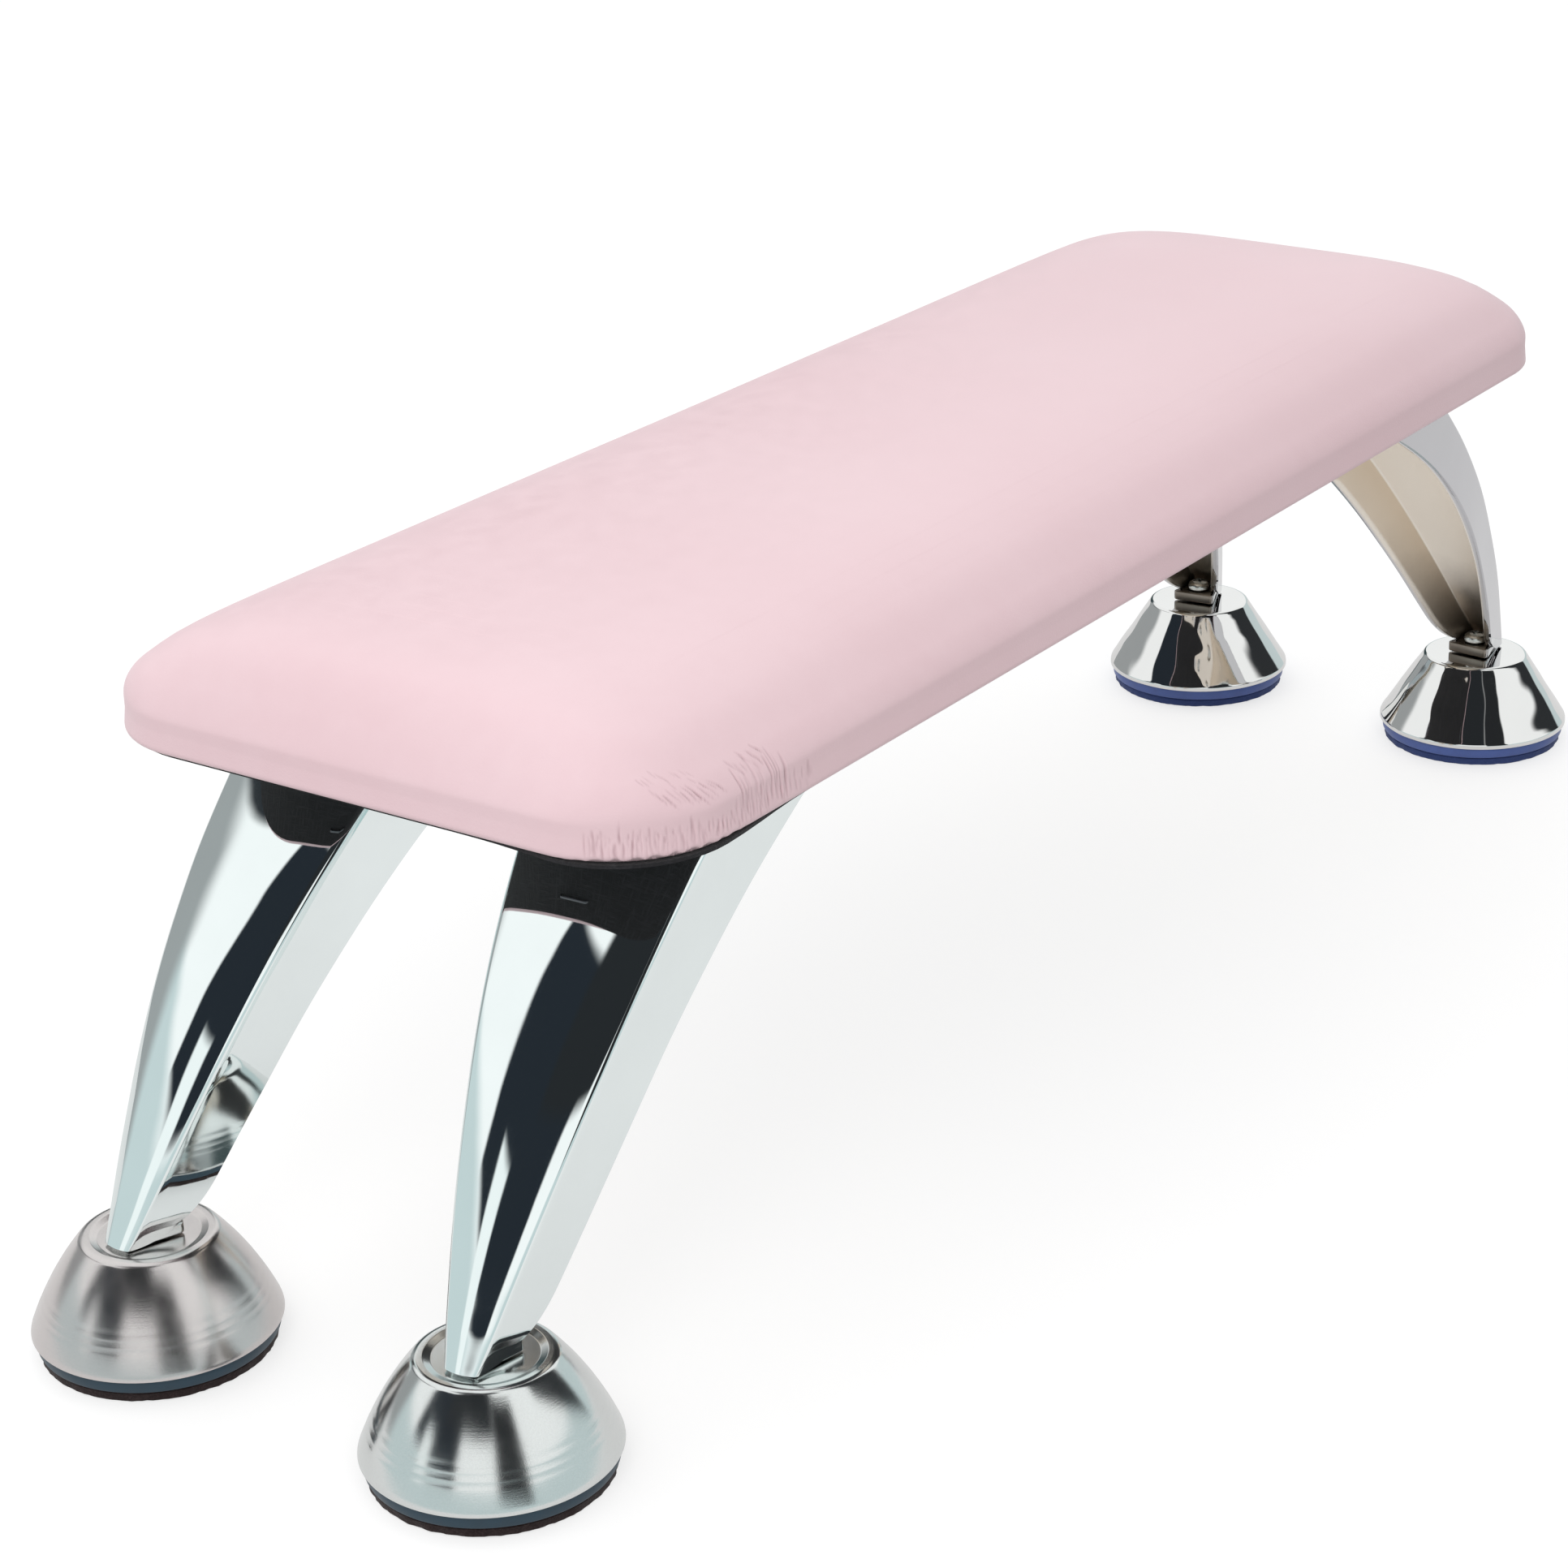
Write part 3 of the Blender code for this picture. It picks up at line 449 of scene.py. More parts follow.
def padSkin(linesX, linesY, wallSteps=17, edgeSteps=5, hemSteps=5):
    # grid over the crown, then rings down the side, round the lower edge and in under the board
    countX, countY = len(linesX), len(linesY)
    gridX, gridY = np.meshgrid(linesX, linesY, indexing="ij")
    x, y, depth = roundedPlace(gridX.ravel(), gridY.ravel())
    top = np.column_stack([x, y, crownHeight(x, y, depth)])
    faces = []
    for i in range(countX - 1):
        for j in range(countY - 1):
            a = i * countY + j
            faces.append((a, a + countY, a + countY + 1, a + 1))
    rim = [i * countY for i in range(countX)]
    rim += [(countX - 1) * countY + j for j in range(1, countY)]
    rim += [i * countY + countY - 1 for i in range(countX - 2, -1, -1)]
    rim += [j for j in range(countY - 2, 0, -1)]
    edge = top[rim]
    inward = inwardAt(edge[:, 0], edge[:, 1])
    bottom, wall, turnIn, hem = pad["bottom"], pad["wall"], pad["lowerEdge"], pad["hem"]
    foot = bottom + turnIn
    # distances in from the edge, and heights
    route = [(0.0, bottom + wall + (foot - bottom - wall) * k / wallSteps) for k in range(1, wallSteps + 1)]
    for angle in (math.pi / 2 * k / edgeSteps for k in range(1, edgeSteps + 1)):
        route.append((turnIn * (1 - math.cos(angle)), foot - turnIn * math.sin(angle)))
    route += [(turnIn + (hem - turnIn) * k / hemSteps, bottom) for k in range(1, hemSteps + 1)]
    rings = [np.column_stack([edge[:, :2] + inward * shift, np.full(len(rim), height)])
             for shift, height in route]
    points = np.vstack([top] + rings)
    loops = [rim]
    for k in range(len(rings)):
        start = len(top) + k * len(rim)
        loops.append(list(range(start, start + len(rim))))
    for upper, lower in zip(loops, loops[1:]):
        for i in range(len(rim)):
            j = (i + 1) % len(rim)
            faces.append((upper[i], lower[i], lower[j], upper[j]))
    return points, faces, loops


def coarseLines(every):
    # a thinned grid for the plain copies of the pad
    both = [insetLines(pad[side], 0)[::every] for side in ("length", "width")]
    return [np.unique(np.append(lines, [-lines.max(), lines.max()])) for lines in both]


def inwardAt(x, y):
    # direction straight in from the pad's edge
    overX = np.maximum(np.abs(x) - (pad["length"] / 2 - pad["corner"]), 0)
    overY = np.maximum(np.abs(y) - (pad["width"] / 2 - pad["corner"]), 0)
    size = np.maximum(np.hypot(overX, overY), 1e-9)
    return np.column_stack([-np.sign(x) * overX / size, -np.sign(y) * overY / size])


def pointNormals(points, faces):
    # faces are quads
    quads = np.array(faces)
    a, b, c, d = [points[quads[:, k]] for k in range(4)]
    faceNormals = np.cross(c - a, d - b)
    normals = np.zeros_like(points)
    for k in range(4):
        np.add.at(normals, quads[:, k], faceNormals)
    return normals / np.maximum(np.linalg.norm(normals, axis=1, keepdims=True), 1e-12)


swelling = {
    "quality": 6,
    "mass": 0.3,
    "tension_stiffness": 15,
    "compression_stiffness": 15,
    "bending_stiffness": 0.5,
    "use_pressure": True,
    "uniform_pressure_force": 4,
    "vertex_group_mass": "held",
}


def simulatedSwell(points):
    # blows a coarse copy of the pad up as cloth, and reads how far each place moves outwards
    skin, faces, loops = padSkin(*coarseLines(3), 4, 2, 2)
    faces.append(tuple(loops[-1]))
    source = linkObject("swellSource", meshFrom("swellSource", skin, faces))
    remesh = source.modifiers.new("remesh", "REMESH")
    remesh.mode = "VOXEL"
    remesh.voxel_size = 0.0045
    cushion = bakedObject(source, "swellCushion")
    rest = np.array([v.co for v in cushion.data.vertices])
    held = [i for i, p in enumerate(rest) if p[2] < pad["bottom"] + 0.003]
    cushion.vertex_groups.new(name="held").add(held, 1.0, "REPLACE")
    blown = cushion.modifiers.new("cloth", "CLOTH").settings
    for key, value in swelling.items():
        setattr(blown, key, value)
    blown.effector_weights.gravity = 0
    scene = bpy.context.scene
    for number in range(1, 21):
        scene.frame_set(number)
    graph = bpy.context.evaluated_depsgraph_get()
    after = np.array([v.co for v in cushion.evaluated_get(graph).data.vertices])
    normals = np.array([v.normal for v in cushion.data.vertices])
    outward = np.clip(((after - rest) * normals).sum(axis=1), 0, 0.016)
    tree = BVHTree.FromObject(cushion, graph, deform=False)
    polygons = [tuple(p.vertices) for p in cushion.data.polygons]
    result = np.zeros(len(points))
    for i, point in enumerate(points):
        nearest, _, face, _ = tree.find_nearest(Vector(point))
        ids = polygons[face]
        weights = [1 / max((Vector(rest[k]) - nearest).length, 1e-5) for k in ids]
        result[i] = sum(w * outward[k] for w, k in zip(weights, ids)) / sum(weights)
    bpy.data.objects.remove(cushion, do_unlink=True)
    scene.frame_set(1)
    print("swell simulated, largest mm:", round(float(outward.max()) * 1000, 1))
    return result / max(result.max(), 1e-9)


def perimeterPlace(x, y):
    # distance round the pad's edge, from the middle of the near end towards the near right corner and on
    corner = pad["corner"]
    straight = pad["width"] / 2 - corner
    overX, overY = corner - pad["length"] / 2 - x, -straight - y
    onArc = straight + corner * np.arctan2(np.maximum(overY, 0), np.maximum(overX, 1e-9))
    onSide = straight + corner * math.pi / 2 - overX
    return np.where(overY <= 0, -y, np.where(overX <= 0, onSide, onArc))


def gatherShare(x, y, middle, half):
    # 1 along the stretch of the edge where the leather is gathered, 0 away from it
    return np.exp(-((perimeterPlace(x, y) - middle) / half) ** 4) * (x < -0.1) * (y < 0)


# where the leather is drawn round the near right corner. A place is a distance along the pad's edge from
# the middle of the near end, and a run goes up the side and then in over the top. All in metres.
gathers = {
    "seed": 11,
    # places from and to, runs of the lower end, lengths, lean, how many, depth
    "groups": ((0.0470, 0.0670, -0.0060, -0.0048, 0.0030, 0.0054, 0.00, 36, 0.00015),
               (0.0490, 0.0640, -0.0034, -0.0018, 0.0012, 0.0022, 0.00, 10, 0.00009),
               (0.0670, 0.0760, -0.0058, -0.0035, 0.0018, 0.0036, 0.00, 14, 0.00012),
               (0.0755, 0.0880, -0.0055, -0.0036, 0.0044, 0.0070, -0.02, 29, 0.00017),
               (0.0880, 0.0950, -0.0052, -0.0025, 0.0018, 0.0036, 0.00, 9, 0.00010),
               (0.0600, 0.0735, 0.0002, 0.0018, 0.0010, 0.0019, -1.30, 17, 0.00012),
               (0.0570, 0.0690, 0.0022, 0.0042, 0.0008, 0.0015, -1.30, 12, 0.00009),
               (0.0770, 0.0850, 0.0008, 0.0028, 0.0010, 0.0020, -0.60, 12, 0.00012)),
    "width": (0.00017, 0.00026),
}


def gatherGrooves(points, normals):
    # carves the pleats, and returns how deep each point lies in one, which the leather uses for painted shade
    # in the grooves
    rng = np.random.default_rng(gathers["seed"])
    x, y, z = points.T
    halfX, halfY = pad["length"] / 2, pad["width"] / 2
    overX, overY = [np.maximum(pad["corner"] - half - at, 0) for half, at in ((halfX, x), (halfY, y))]
    depthIn = np.where((overX > 0) & (overY > 0), pad["corner"] - np.hypot(overX, overY),
                       np.minimum(x + halfX, y + halfY))
    wallTop = pad["bottom"] + pad["wall"]
    run = np.where(z <= wallTop + 1e-6, z - wallTop, np.maximum(depthIn, 0))
    ids = np.nonzero((x < 0.06 - halfX) & (y < 0.06 - halfY))[0]
    place, run = perimeterPlace(x, y)[ids], run[ids]
    sink = np.zeros(len(ids))
    for first, last, lowest, highest, shortest, longest, lean, count, depth in gathers["groups"]:
        for number in range(count):
            centre = first + (last - first) / count * (number + rng.uniform(0.15, 0.85))
            start = rng.uniform(lowest, highest)
            length = rng.uniform(shortest, longest)
            width = rng.uniform(*gathers["width"])
            deep = depth * rng.uniform(0.55, 1.25)
            slope = lean + rng.normal() * (0.012 + 0.10 * abs(lean))
            bend = rng.uniform(0.00002, 0.00007)
            phase = rng.uniform(0, 6)
            along = np.clip((run - start) / length, 0, 1)
            middle = centre + slope * (run - max(start, 0)) * (run > start) + bend * np.sin(along * 7 + phase)
            off = (place - middle) / width
            groove = np.exp(-off ** 2) - 0.35 * np.exp(-((np.abs(off) - 2.2) / 1.1) ** 2)
            sink += deep * np.sin(math.pi * along) ** 0.6 * groove
    carved = np.zeros(len(points))
    carved[ids] = sink
    return points - normals * carved[:, None], np.clip(carved / 0.00018, 0, 1)


def makePad():
    reachX, reachY = pad["fineReach"]
    points, faces, loops = padSkin(insetLines(pad["length"], reachX), insetLines(pad["width"], reachY))
    normals = pointNormals(points, faces)
    height = points[:, 2] - pad["bottom"]
    onHem = points[:, 2] < pad["bottom"] + 1e-5
    swell = simulatedSwell(points)
    # the sides follow the swelling, but the turned-in hem stays flat on the board
    broad = pad["unevenness"] * noise3(points, 38, 5)
    move = (pad["swell"] * (swell - 0.5) + broad) * np.clip(height / 0.004, 0, 1)
    outer = points + normals * move[:, None]
    inner = outer - normals * pad["leather"]
    inner[onHem, 2] = pad["bottom"] + pad["leather"]
    outer, creaseShadeShares = gatherGrooves(outer, normals)
    # the lower edge is a little uneven where the leather is gathered
    place = perimeterPlace(points[:, 0], points[:, 1])
    gathered = gatherShare(points[:, 0], points[:, 1], *pad["gather"])
    low = np.clip(1 - height / 0.003, 0, 1) * (~onHem)
    outer[:, 2] += gathered * low * (0.00042 + 0.00024 * np.sin(place * 640 + 1.6 * np.sin(place * 1330)))
    count = len(points)
    inside = [tuple(count + k for k in reversed(face)) for face in faces]
    rim = loops[-1]
    lip = [(a, count + a, count + b, b) for a, b in zip(rim, rim[1:] + rim[:1])]
    mesh = meshFrom("leatherCover", np.vstack([outer, inner]), faces + inside + lip, 60)
    # how deep each point lies in a pleat, for the painted shade in the grooves
    creaseShade = mesh.attributes.new("creaseShade", "FLOAT", "POINT")
    creaseShade.data.foreach_set("value", np.concatenate([creaseShadeShares, creaseShadeShares * 0]))
    cover = finishPiece(linkObject("leatherCover", mesh), looks["leather"], "pink_leather", "leather_cover")
    print("pad skin:", len(mesh.polygons), "faces")


def makeFoam():
    # a plain core, a little inside the leather
    lines = coarseLines(2)
    points, faces, loops = padSkin(*lines, 4, 2, 1)
    points = points - pointNormals(points, faces) * pad["foamInset"]
    base = boardBox[1].z + pad["foamLift"]
    points[:, 2] = np.maximum(points[:, 2], base)
    top = len(lines[0]) * len(lines[1])
    skirt = loops[1]
    points[skirt, 2] = base
    kept = [face for face in faces if max(face) < top or set(face) <= set(loops[0] + skirt)]
    shape = shapeOf(points, kept + [skirt[::-1]])
    bmesh.ops.delete(shape, geom=[v for v in shape.verts if not v.link_faces], context="VERTS")
    mesh = meshOf("foamCore", shape)
    mesh.shade_smooth()
    foam = finishPiece(linkObject("foamCore", mesh), looks["foam"], "foam", "foam_cushion")


makePad()
makeFoam()
print("pad made")


# The dust cloth, stapled under the board

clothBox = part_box("dust_cloth")
cloth = {
    "inset": 0.0021,
    "cornerInset": 0.0004,    # it is seen more where the leather is gathered
    "gather": (0.060, 0.026),    # middle and half length of that stretch
    "slack": 0.00008,
    "rings": (0, 0.0004, 0.0012, 0.003, 0.006, 0.010, 0.016, 0.024, 0.034, 0.044, 0.052),
}


def makeCloth():
    # rings in from a folded edge, slack between the staples
    halfX, halfY, corner = pad["length"] / 2, pad["width"] / 2, pad["corner"]
    middle = (clothBox[0].z + clothBox[1].z) / 2
    outline = []
    for sideX, sideY, start in ((1, 1, 0), (-1, 1, 90), (-1, -1, 180), (1, -1, 270)):
        for step in range(13):
            angle = math.radians(start + 90 * step / 12)
            outline.append((sideX * (halfX - corner), sideY * (halfY - corner),
                            math.cos(angle), math.sin(angle)))
    base = []
    for index, (x, y, ax, ay) in enumerate(outline):
        base.append((x, y, ax, ay))
        nextX, nextY = outline[(index + 1) % len(outline)][:2]
        if (nextX, nextY) != (x, y):
            steps = 60 if abs(nextX - x) > 0.1 else 22
            base += [(x + (nextX - x) * k / steps, y + (nextY - y) * k / steps, ax, ay)
                     for k in range(1, steps)]
    base = np.array(base)
    centres, arms = base[:, :2], base[:, 2:]
    gathered = gatherShare(*(centres + arms * corner).T, *cloth["gather"])
    edge = cloth["inset"] + (cloth["cornerInset"] - cloth["inset"]) * gathered
    rings = []
    for inset in cloth["rings"]:
        whole = inset + edge * max(1 - inset / 0.010, 0) + cloth["inset"] * min(inset / 0.010, 1)
        radius = np.maximum(corner - whole, 0.0)
        pull = np.maximum(whole - corner, 0.0)
        x, y = (centres + arms * radius[:, None] - np.sign(centres) * pull[:, None]).T
        y = np.where(np.abs(centres[:, 1]) < pull, 0, y)
        rings.append(np.column_stack([x, y, np.full(len(x), middle)]))
    points = np.vstack(rings)
    depth = np.repeat(np.array(cloth["rings"]), len(base))
    wave = noise3(points * [1, 1, 0], 160, 21)
    points[:, 2] += np.clip(wave, -1, 1) * cloth["slack"] * np.clip(depth / 0.003, 0, 1)
    cap = tuple(range(len(points) - len(base), len(points)))[::-1]
    shape = shapeOf(points, bridged(len(base), len(rings)) + [cap])
    bmesh.ops.triangulate(shape, faces=[f for f in shape.faces if len(f.verts) > 4])
    bmesh.ops.dissolve_degenerate(shape, edges=shape.edges, dist=1e-6)
    bmesh.ops.recalc_face_normals(shape, faces=shape.faces)
    item = linkObject("dustCloth", meshOf("dustCloth", shape))
    thick = item.modifiers.new("thickness", "SOLIDIFY")
    thick.thickness = clothBox[1].z - clothBox[0].z
    thick.offset = 0
    made = finishPiece(bakedObject(item, "dustCloth"), looks["cloth"], "dust_cloth", "dust_cloth")


makeCloth()
print("dust cloth made")


# Legs: a horn-shaped channel, with its mounting plate and sole

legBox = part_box("leg_front_left")
leg = {
    "bottom": legBox[0].z,
    "height": legBox[1].z - legBox[0].z,
    "wall": 0.0018,
    "turn": math.radians(5.5),
    "standX": 0.1827,
    "standY": 0.0366,
    "nose": 0.0071,
    "lean": 0.043,
    "sweep": 0.017,
    "depthAtFoot": 0.0097,
    "depthTaper": 0.006,
    "depthFlare": 0.014,
    "frontHalf": (0.0031, 0.0179, 0.25),
    "rearHalf": (0.0060, 0.0212, 0.46),
    "bulge": 0.20,
    "heelRise": 0.0028,
    "toeStep": 0.0003,
    "sole": 0.0022,
    "soleTail": 0.0013,
    "plate": 0.0022,
    "plateLip": 0.0012,
    "plateTail": 0.009,
    "stations": 84,
    "wave": 0.00006,       # unevenness of the polished casting
    "rearRound": 0.0005,
    "plateCorner": 0.004,
    "soleInset": 0.00063,
    "soleCorner": 0.0009,
    "screwHole": 0.00205,
    "boltHole": 0.0019,
    "screws": (0.0095, 0.0105, 0.012),     # in from the plate's front and rear, and to either side
}


def bowed(size, s):
    atFoot, atTop, bow = size
    return atFoot + (atTop - atFoot) * (s + bow * s * (1 - s))


def legFront(s):
    return leg["nose"] - leg["lean"] * s - leg["sweep"] * s ** 3


def legDepth(s):
    return leg["depthAtFoot"] + leg["depthTaper"] * s + leg["depthFlare"] * s ** 5


def arcBetween(before, corner, after, radius, steps):
    before, corner, after = Vector(before), Vector(corner), Vector(after)
    back, ahead = (before - corner).normalized(), (after - corner).normalized()
    half = back.angle(ahead) / 2
    centre = corner + (back + ahead).normalized() * radius / math.sin(half)
    start = corner + back * radius / math.tan(half) - centre
    end = corner + ahead * radius / math.tan(half) - centre
    sweep = start.angle(end)
    path = []
    for k in range(steps + 1):
        arm = start * math.sin((1 - k / steps) * sweep) + end * math.sin(k / steps * sweep)
        path.append(centre + arm / math.sin(sweep))
    return path


def bulgePoint(front, half, rise, share):
    return Vector((front + rise * (1 - share ** 2), half * share))


def wallPath(front, rear, halfFront, halfRear, radius, flankSteps=9, frontSteps=20, arcSteps=7):
    # one side of the wall seen from above: rear edge, flank, rounded corner, bulged front, and back
    rise = leg["bulge"] * halfFront
    near = bulgePoint(front, halfFront, rise, 1 - 0.12)
    arc = arcBetween((rear, halfRear), (front, halfFront), near, radius, arcSteps)
    mirrored = [Vector((p.x, -p.y)) for p in reversed(arc)]
    ends = Vector((rear, halfRear)), Vector((rear, -halfRear))
    path = [ends[0].lerp(arc[0], k / flankSteps) for k in range(flankSteps)] + arc
    reach = min(0.995, arc[-1].y / halfFront)
    path += [bulgePoint(front, halfFront, rise, reach * (1 - 2 * k / frontSteps))
             for k in range(1, frontSteps)]
    return path + mirrored + [mirrored[-1].lerp(ends[1], k / flankSteps) for k in range(1, flankSteps + 1)]


def wallSlopes(s):
    # half widths of the front and rear, how fast the flanks spread, and the front's and flanks' slant lengths
    halfFront, halfRear = bowed(leg["frontHalf"], s), bowed(leg["rearHalf"], s)
    spread = (halfRear - halfFront) / legDepth(s)
    slope = (leg["lean"] + 3 * leg["sweep"] * s ** 2) / leg["height"]
    return halfFront, halfRear, spread, leg["wall"] * np.hypot(1, slope), leg["wall"] * np.hypot(1, spread)


def legSection(s):
    halfFront, halfRear, spread, frontWall, sideWall = wallSlopes(s)
    front = legFront(s)
    rear = front - legDepth(s)
    innerHalf = halfFront + spread * frontWall - sideWall
    radius = 0.0007 + 0.10 * halfFront
    outer = wallPath(front, rear, halfFront, halfRear, radius)
    inner = wallPath(front - frontWall, rear, innerHalf, halfRear - sideWall, radius * 0.5)
    # the rear edges of the wall are rounded
    lipA = arcRound(outer[0], inner[0])
    lipB = arcRound(inner[-1], outer[-1])
    return outer + lipB[::-1] + inner[::-1] + lipA[::-1]


def arcRound(outerEnd, innerEnd, steps=4):
    # half an ellipse from the outer to the inner corner of a wall's rear edge
    middle, arm = (outerEnd + innerEnd) / 2, (outerEnd - innerEnd) / 2
    angles = [math.pi * k / steps for k in range(1, steps)]
    return [middle + arm * math.cos(a) - Vector((leg["rearRound"], 0)) * math.sin(a) for a in angles]


def heelCurve(u):
    run = leg["depthAtFoot"] * 0.9
    start = legFront(0) - leg["depthAtFoot"] + run
    radius = (run ** 2 + leg["heelRise"] ** 2) / (2 * leg["heelRise"])
    back = min(max(start - u, 0.0), run)
    return leg["toeStep"] + radius - math.sqrt(radius ** 2 - back ** 2)


def channelMesh():
    top = leg["bottom"] + leg["height"] - leg["plate"] / 2
    points = []
    for index in range(leg["stations"]):
        share = index / (leg["stations"] - 1)
        share = 0.6 * share + 0.4 * share ** 2 if share < 1 else 1
        height = leg["bottom"] + (top - leg["bottom"]) * share
        blend = max(0.0, 1 - (height - leg["bottom"]) / 0.010)
        section = legSection((height - leg["bottom"]) / leg["height"])
        points += [(p.x, p.y, height + heelCurve(p.x) * blend ** 2) for p in section]
    count = len(section)
    caps = [tuple(range(count)), tuple(range(len(points) - count, len(points)))[::-1]]
    shape = shapeOf(points, bridged(count, leg["stations"]) + caps)
    bmesh.ops.recalc_face_normals(shape, faces=shape.faces)
    return meshOf("legChannel", shape)


def slabObject(name, outline, bottom, top, edge):
    # a flat plate with eased edges
    shape = bmesh.new()
    face = shape.faces.new([shape.verts.new((p[0], p[1], bottom)) for p in outline])
    made = bmesh.ops.extrude_face_region(shape, geom=[face])
    lifted = [g for g in made["geom"] if isinstance(g, bmesh.types.BMVert)]
    bmesh.ops.translate(shape, verts=lifted, vec=(0, 0, top - bottom))
    bmesh.ops.recalc_face_normals(shape, faces=shape.faces)
    around = [e for e in shape.edges if abs(e.verts[0].co.z - e.verts[1].co.z) < 1e-7]
    bmesh.ops.bevel(shape, geom=around, offset=edge, segments=3, profile=0.5, affect="EDGES")
    return linkObject(name, meshOf(name, shape))


def roundedOutline(rear, front, halfRear, halfFront, radius, steps=8):
    loop = [Vector(p) for p in ((rear, halfRear), (rear, -halfRear), (front, -halfFront), (front, halfFront))]
    path = []
    for k in range(4):
        path += arcBetween(loop[k - 1], loop[k], loop[(k + 1) % 4], radius, steps)
    return path


def legHoles():
    # the screw holes of the plate and the bolt hole of the sole, as one cutter
    shape = bmesh.new()
    holes = [(u, w, leg["bottom"] + leg["height"], leg["screwHole"], 0.012) for u, w in screwPlaces()]
    for u, w, z, radius, deep in holes + [(0, 0, leg["bottom"], leg["boltHole"], 0.009)]:
        bmesh.ops.create_cone(shape, cap_ends=True, segments=32, radius1=radius, radius2=radius, depth=deep,
                              matrix=Matrix.Translation((u, w, z)))
    return linkObject("legHoles", meshOf("legHoles", shape))


def screwPlaces():
    ahead, behind, aside = leg["screws"]
    rear = legFront(1) - legDepth(1) - leg["plateTail"] + behind
    return [(legFront(1) - ahead, 0.0), (rear, aside), (rear, -aside)]


def legStand(sideX, sideY):
    turn = math.atan2(sideY * math.sin(leg["turn"]), sideX * math.cos(leg["turn"]))
    place = Matrix.Translation((sideX * leg["standX"], sideY * leg["standY"], 0))
    return place @ Matrix.Rotation(turn, 4, "Z")


def insideShare(points):
    # 0 on the outside of the channel's wall, 1 on its inside
    x, y, z = points.T
    s = np.clip((z - leg["bottom"]) / leg["height"], 0, 1)
    halfFront, _, spread, frontWall, sideWall = wallSlopes(s)
    front = legFront(s)
    bulge = leg["bulge"] * halfFront * (1 - np.clip(y / halfFront, -1, 1) ** 2)
    behind = (front + bulge - x) / frontWall
    within = (halfFront + spread * (front - x) - np.abs(y)) / sideWall
    below = z < leg["bottom"] + leg["height"] - leg["plate"] + 0.0001
    return np.clip((np.minimum(behind, within) - 0.55) / 0.35, 0, 1) * below


def makeLegs():
    bottom, top = leg["bottom"], leg["bottom"] + leg["height"]
    lip, inset = leg["plateLip"], leg["soleInset"]
    frontHalf, rearHalf = bowed(leg["frontHalf"], 1), bowed(leg["rearHalf"], 1)
    plate = roundedOutline(legFront(1) - legDepth(1) - leg["plateTail"],
                           legFront(1) + leg["bulge"] * frontHalf + lip,
                           rearHalf + lip, frontHalf + lip, leg["plateCorner"])
    sole = roundedOutline(legFront(0) - leg["depthAtFoot"] - leg["soleTail"], legFront(0) - inset,
                          leg["rearHalf"][0] - inset, leg["frontHalf"][0] - inset, leg["soleCorner"])
    tools = [(slabObject("legPlate", plate, top - leg["plate"], top, 0.0004), "UNION"),
             (slabObject("legSole", sole, bottom, bottom + leg["sole"], 0.0003), "UNION"),
             (legHoles(), "DIFFERENCE")]
    channel = linkObject("legWhole", channelMesh())
    for tool, operation in tools:
        cutWith(channel, tool, operation)
    whole = bakedObject(channel, "legWhole", 30)
    for tool, _ in tools:
        bpy.data.objects.remove(tool, do_unlink=True)
    for number, (corner, sides) in enumerate(corners.items()):
        mesh = whole.data.copy()
        points = np.array([v.co for v in mesh.vertices])
        normals = np.array([v.normal for v in mesh.vertices])
        height = points[:, 2]
        calm = np.clip((top - 0.004 - height) / 0.006, 0, 1) * np.clip((height - bottom) / 0.006, 0, 1)
        move = noise3(points, 110, 40 + number, 16) * leg["wave"] * calm
        inside = mesh.attributes.new("inside", "FLOAT", "POINT")
        inside.data.foreach_set("value", insideShare(points))
        points += normals * move[:, None]
        mesh.vertices.foreach_set("co", points.ravel())
        mesh.transform(legStand(*sides))
        mesh.update()
        mesh.name = f"leg_{corner}"
        # the far legs take the darker copy of the chrome, which is painted shade
        look = looks["litNearChrome" if sides[0] < 0 else "shadedFarChrome"]
        finishPiece(linkObject(f"chromedLeg_{corner}", mesh), look, "chrome", f"leg_{corner}")
    print("legs made:", len(whole.data.polygons), "faces each")
    bpy.data.objects.remove(whole, do_unlink=True)


makeLegs()


# Feet: turned shells on plastic rings and felt pads

foot = {
    "turns": 96,
    "shoulder": 0.0118,
    "innerSkirt": 0.0014,    # upright part inside a near shell's rim
    "bulge": 0.0016,         # how far the control point of a near cone's arc stands off its chord
    "wall": 0.0012,
    "bore": 0.0019,
    "grooves": (0.0046, 0.0058, 0.0072),   # heights above the rim of the turned marks
    "grooveDepth": 0.000035,
    "ringBore": 0.012,
    "dish": (0.0088, 0.0005),              # radius and depth of the seat that a near leg stands in
    "farSkirt": 0.0008,
    "satin": {"front_left": ((0.70, 0.66, 0.65), (0.17, 0.26)),
              "front_right": ((0.78, 0.80, 0.79), (0.11, 0.17))},
    "wave": 0.00008,
}


def turnedMesh(name, profile, centre, steps):
    # a closed profile of (radius, height) round an upright axis
    points = []
    for angle in (2 * math.pi * k / steps for k in range(steps)):
        points += [(centre[0] + r * math.cos(angle), centre[1] + r * math.sin(angle), z) for r, z in profile]
    shape = shapeOf(points, bridged(len(profile), steps, closed=True))
    bmesh.ops.remove_doubles(shape, verts=shape.verts, dist=1e-6)
    bmesh.ops.recalc_face_normals(shape, faces=shape.faces)
    mesh = meshOf(name, shape)
    mesh.shade_smooth()
    mesh.set_sharp_from_angle(angle=math.radians(35))
    return mesh


def filleted(points, radii, steps=10):
    path = [Vector(points[0])]
    for before, corner, after, radius in zip(points, points[1:], points[2:], radii):
        if radius:
            path += arcBetween(before, corner, after, radius, steps)
        else:
            path.append(Vector(corner))
    path.append(Vector(points[-1]))
    return path


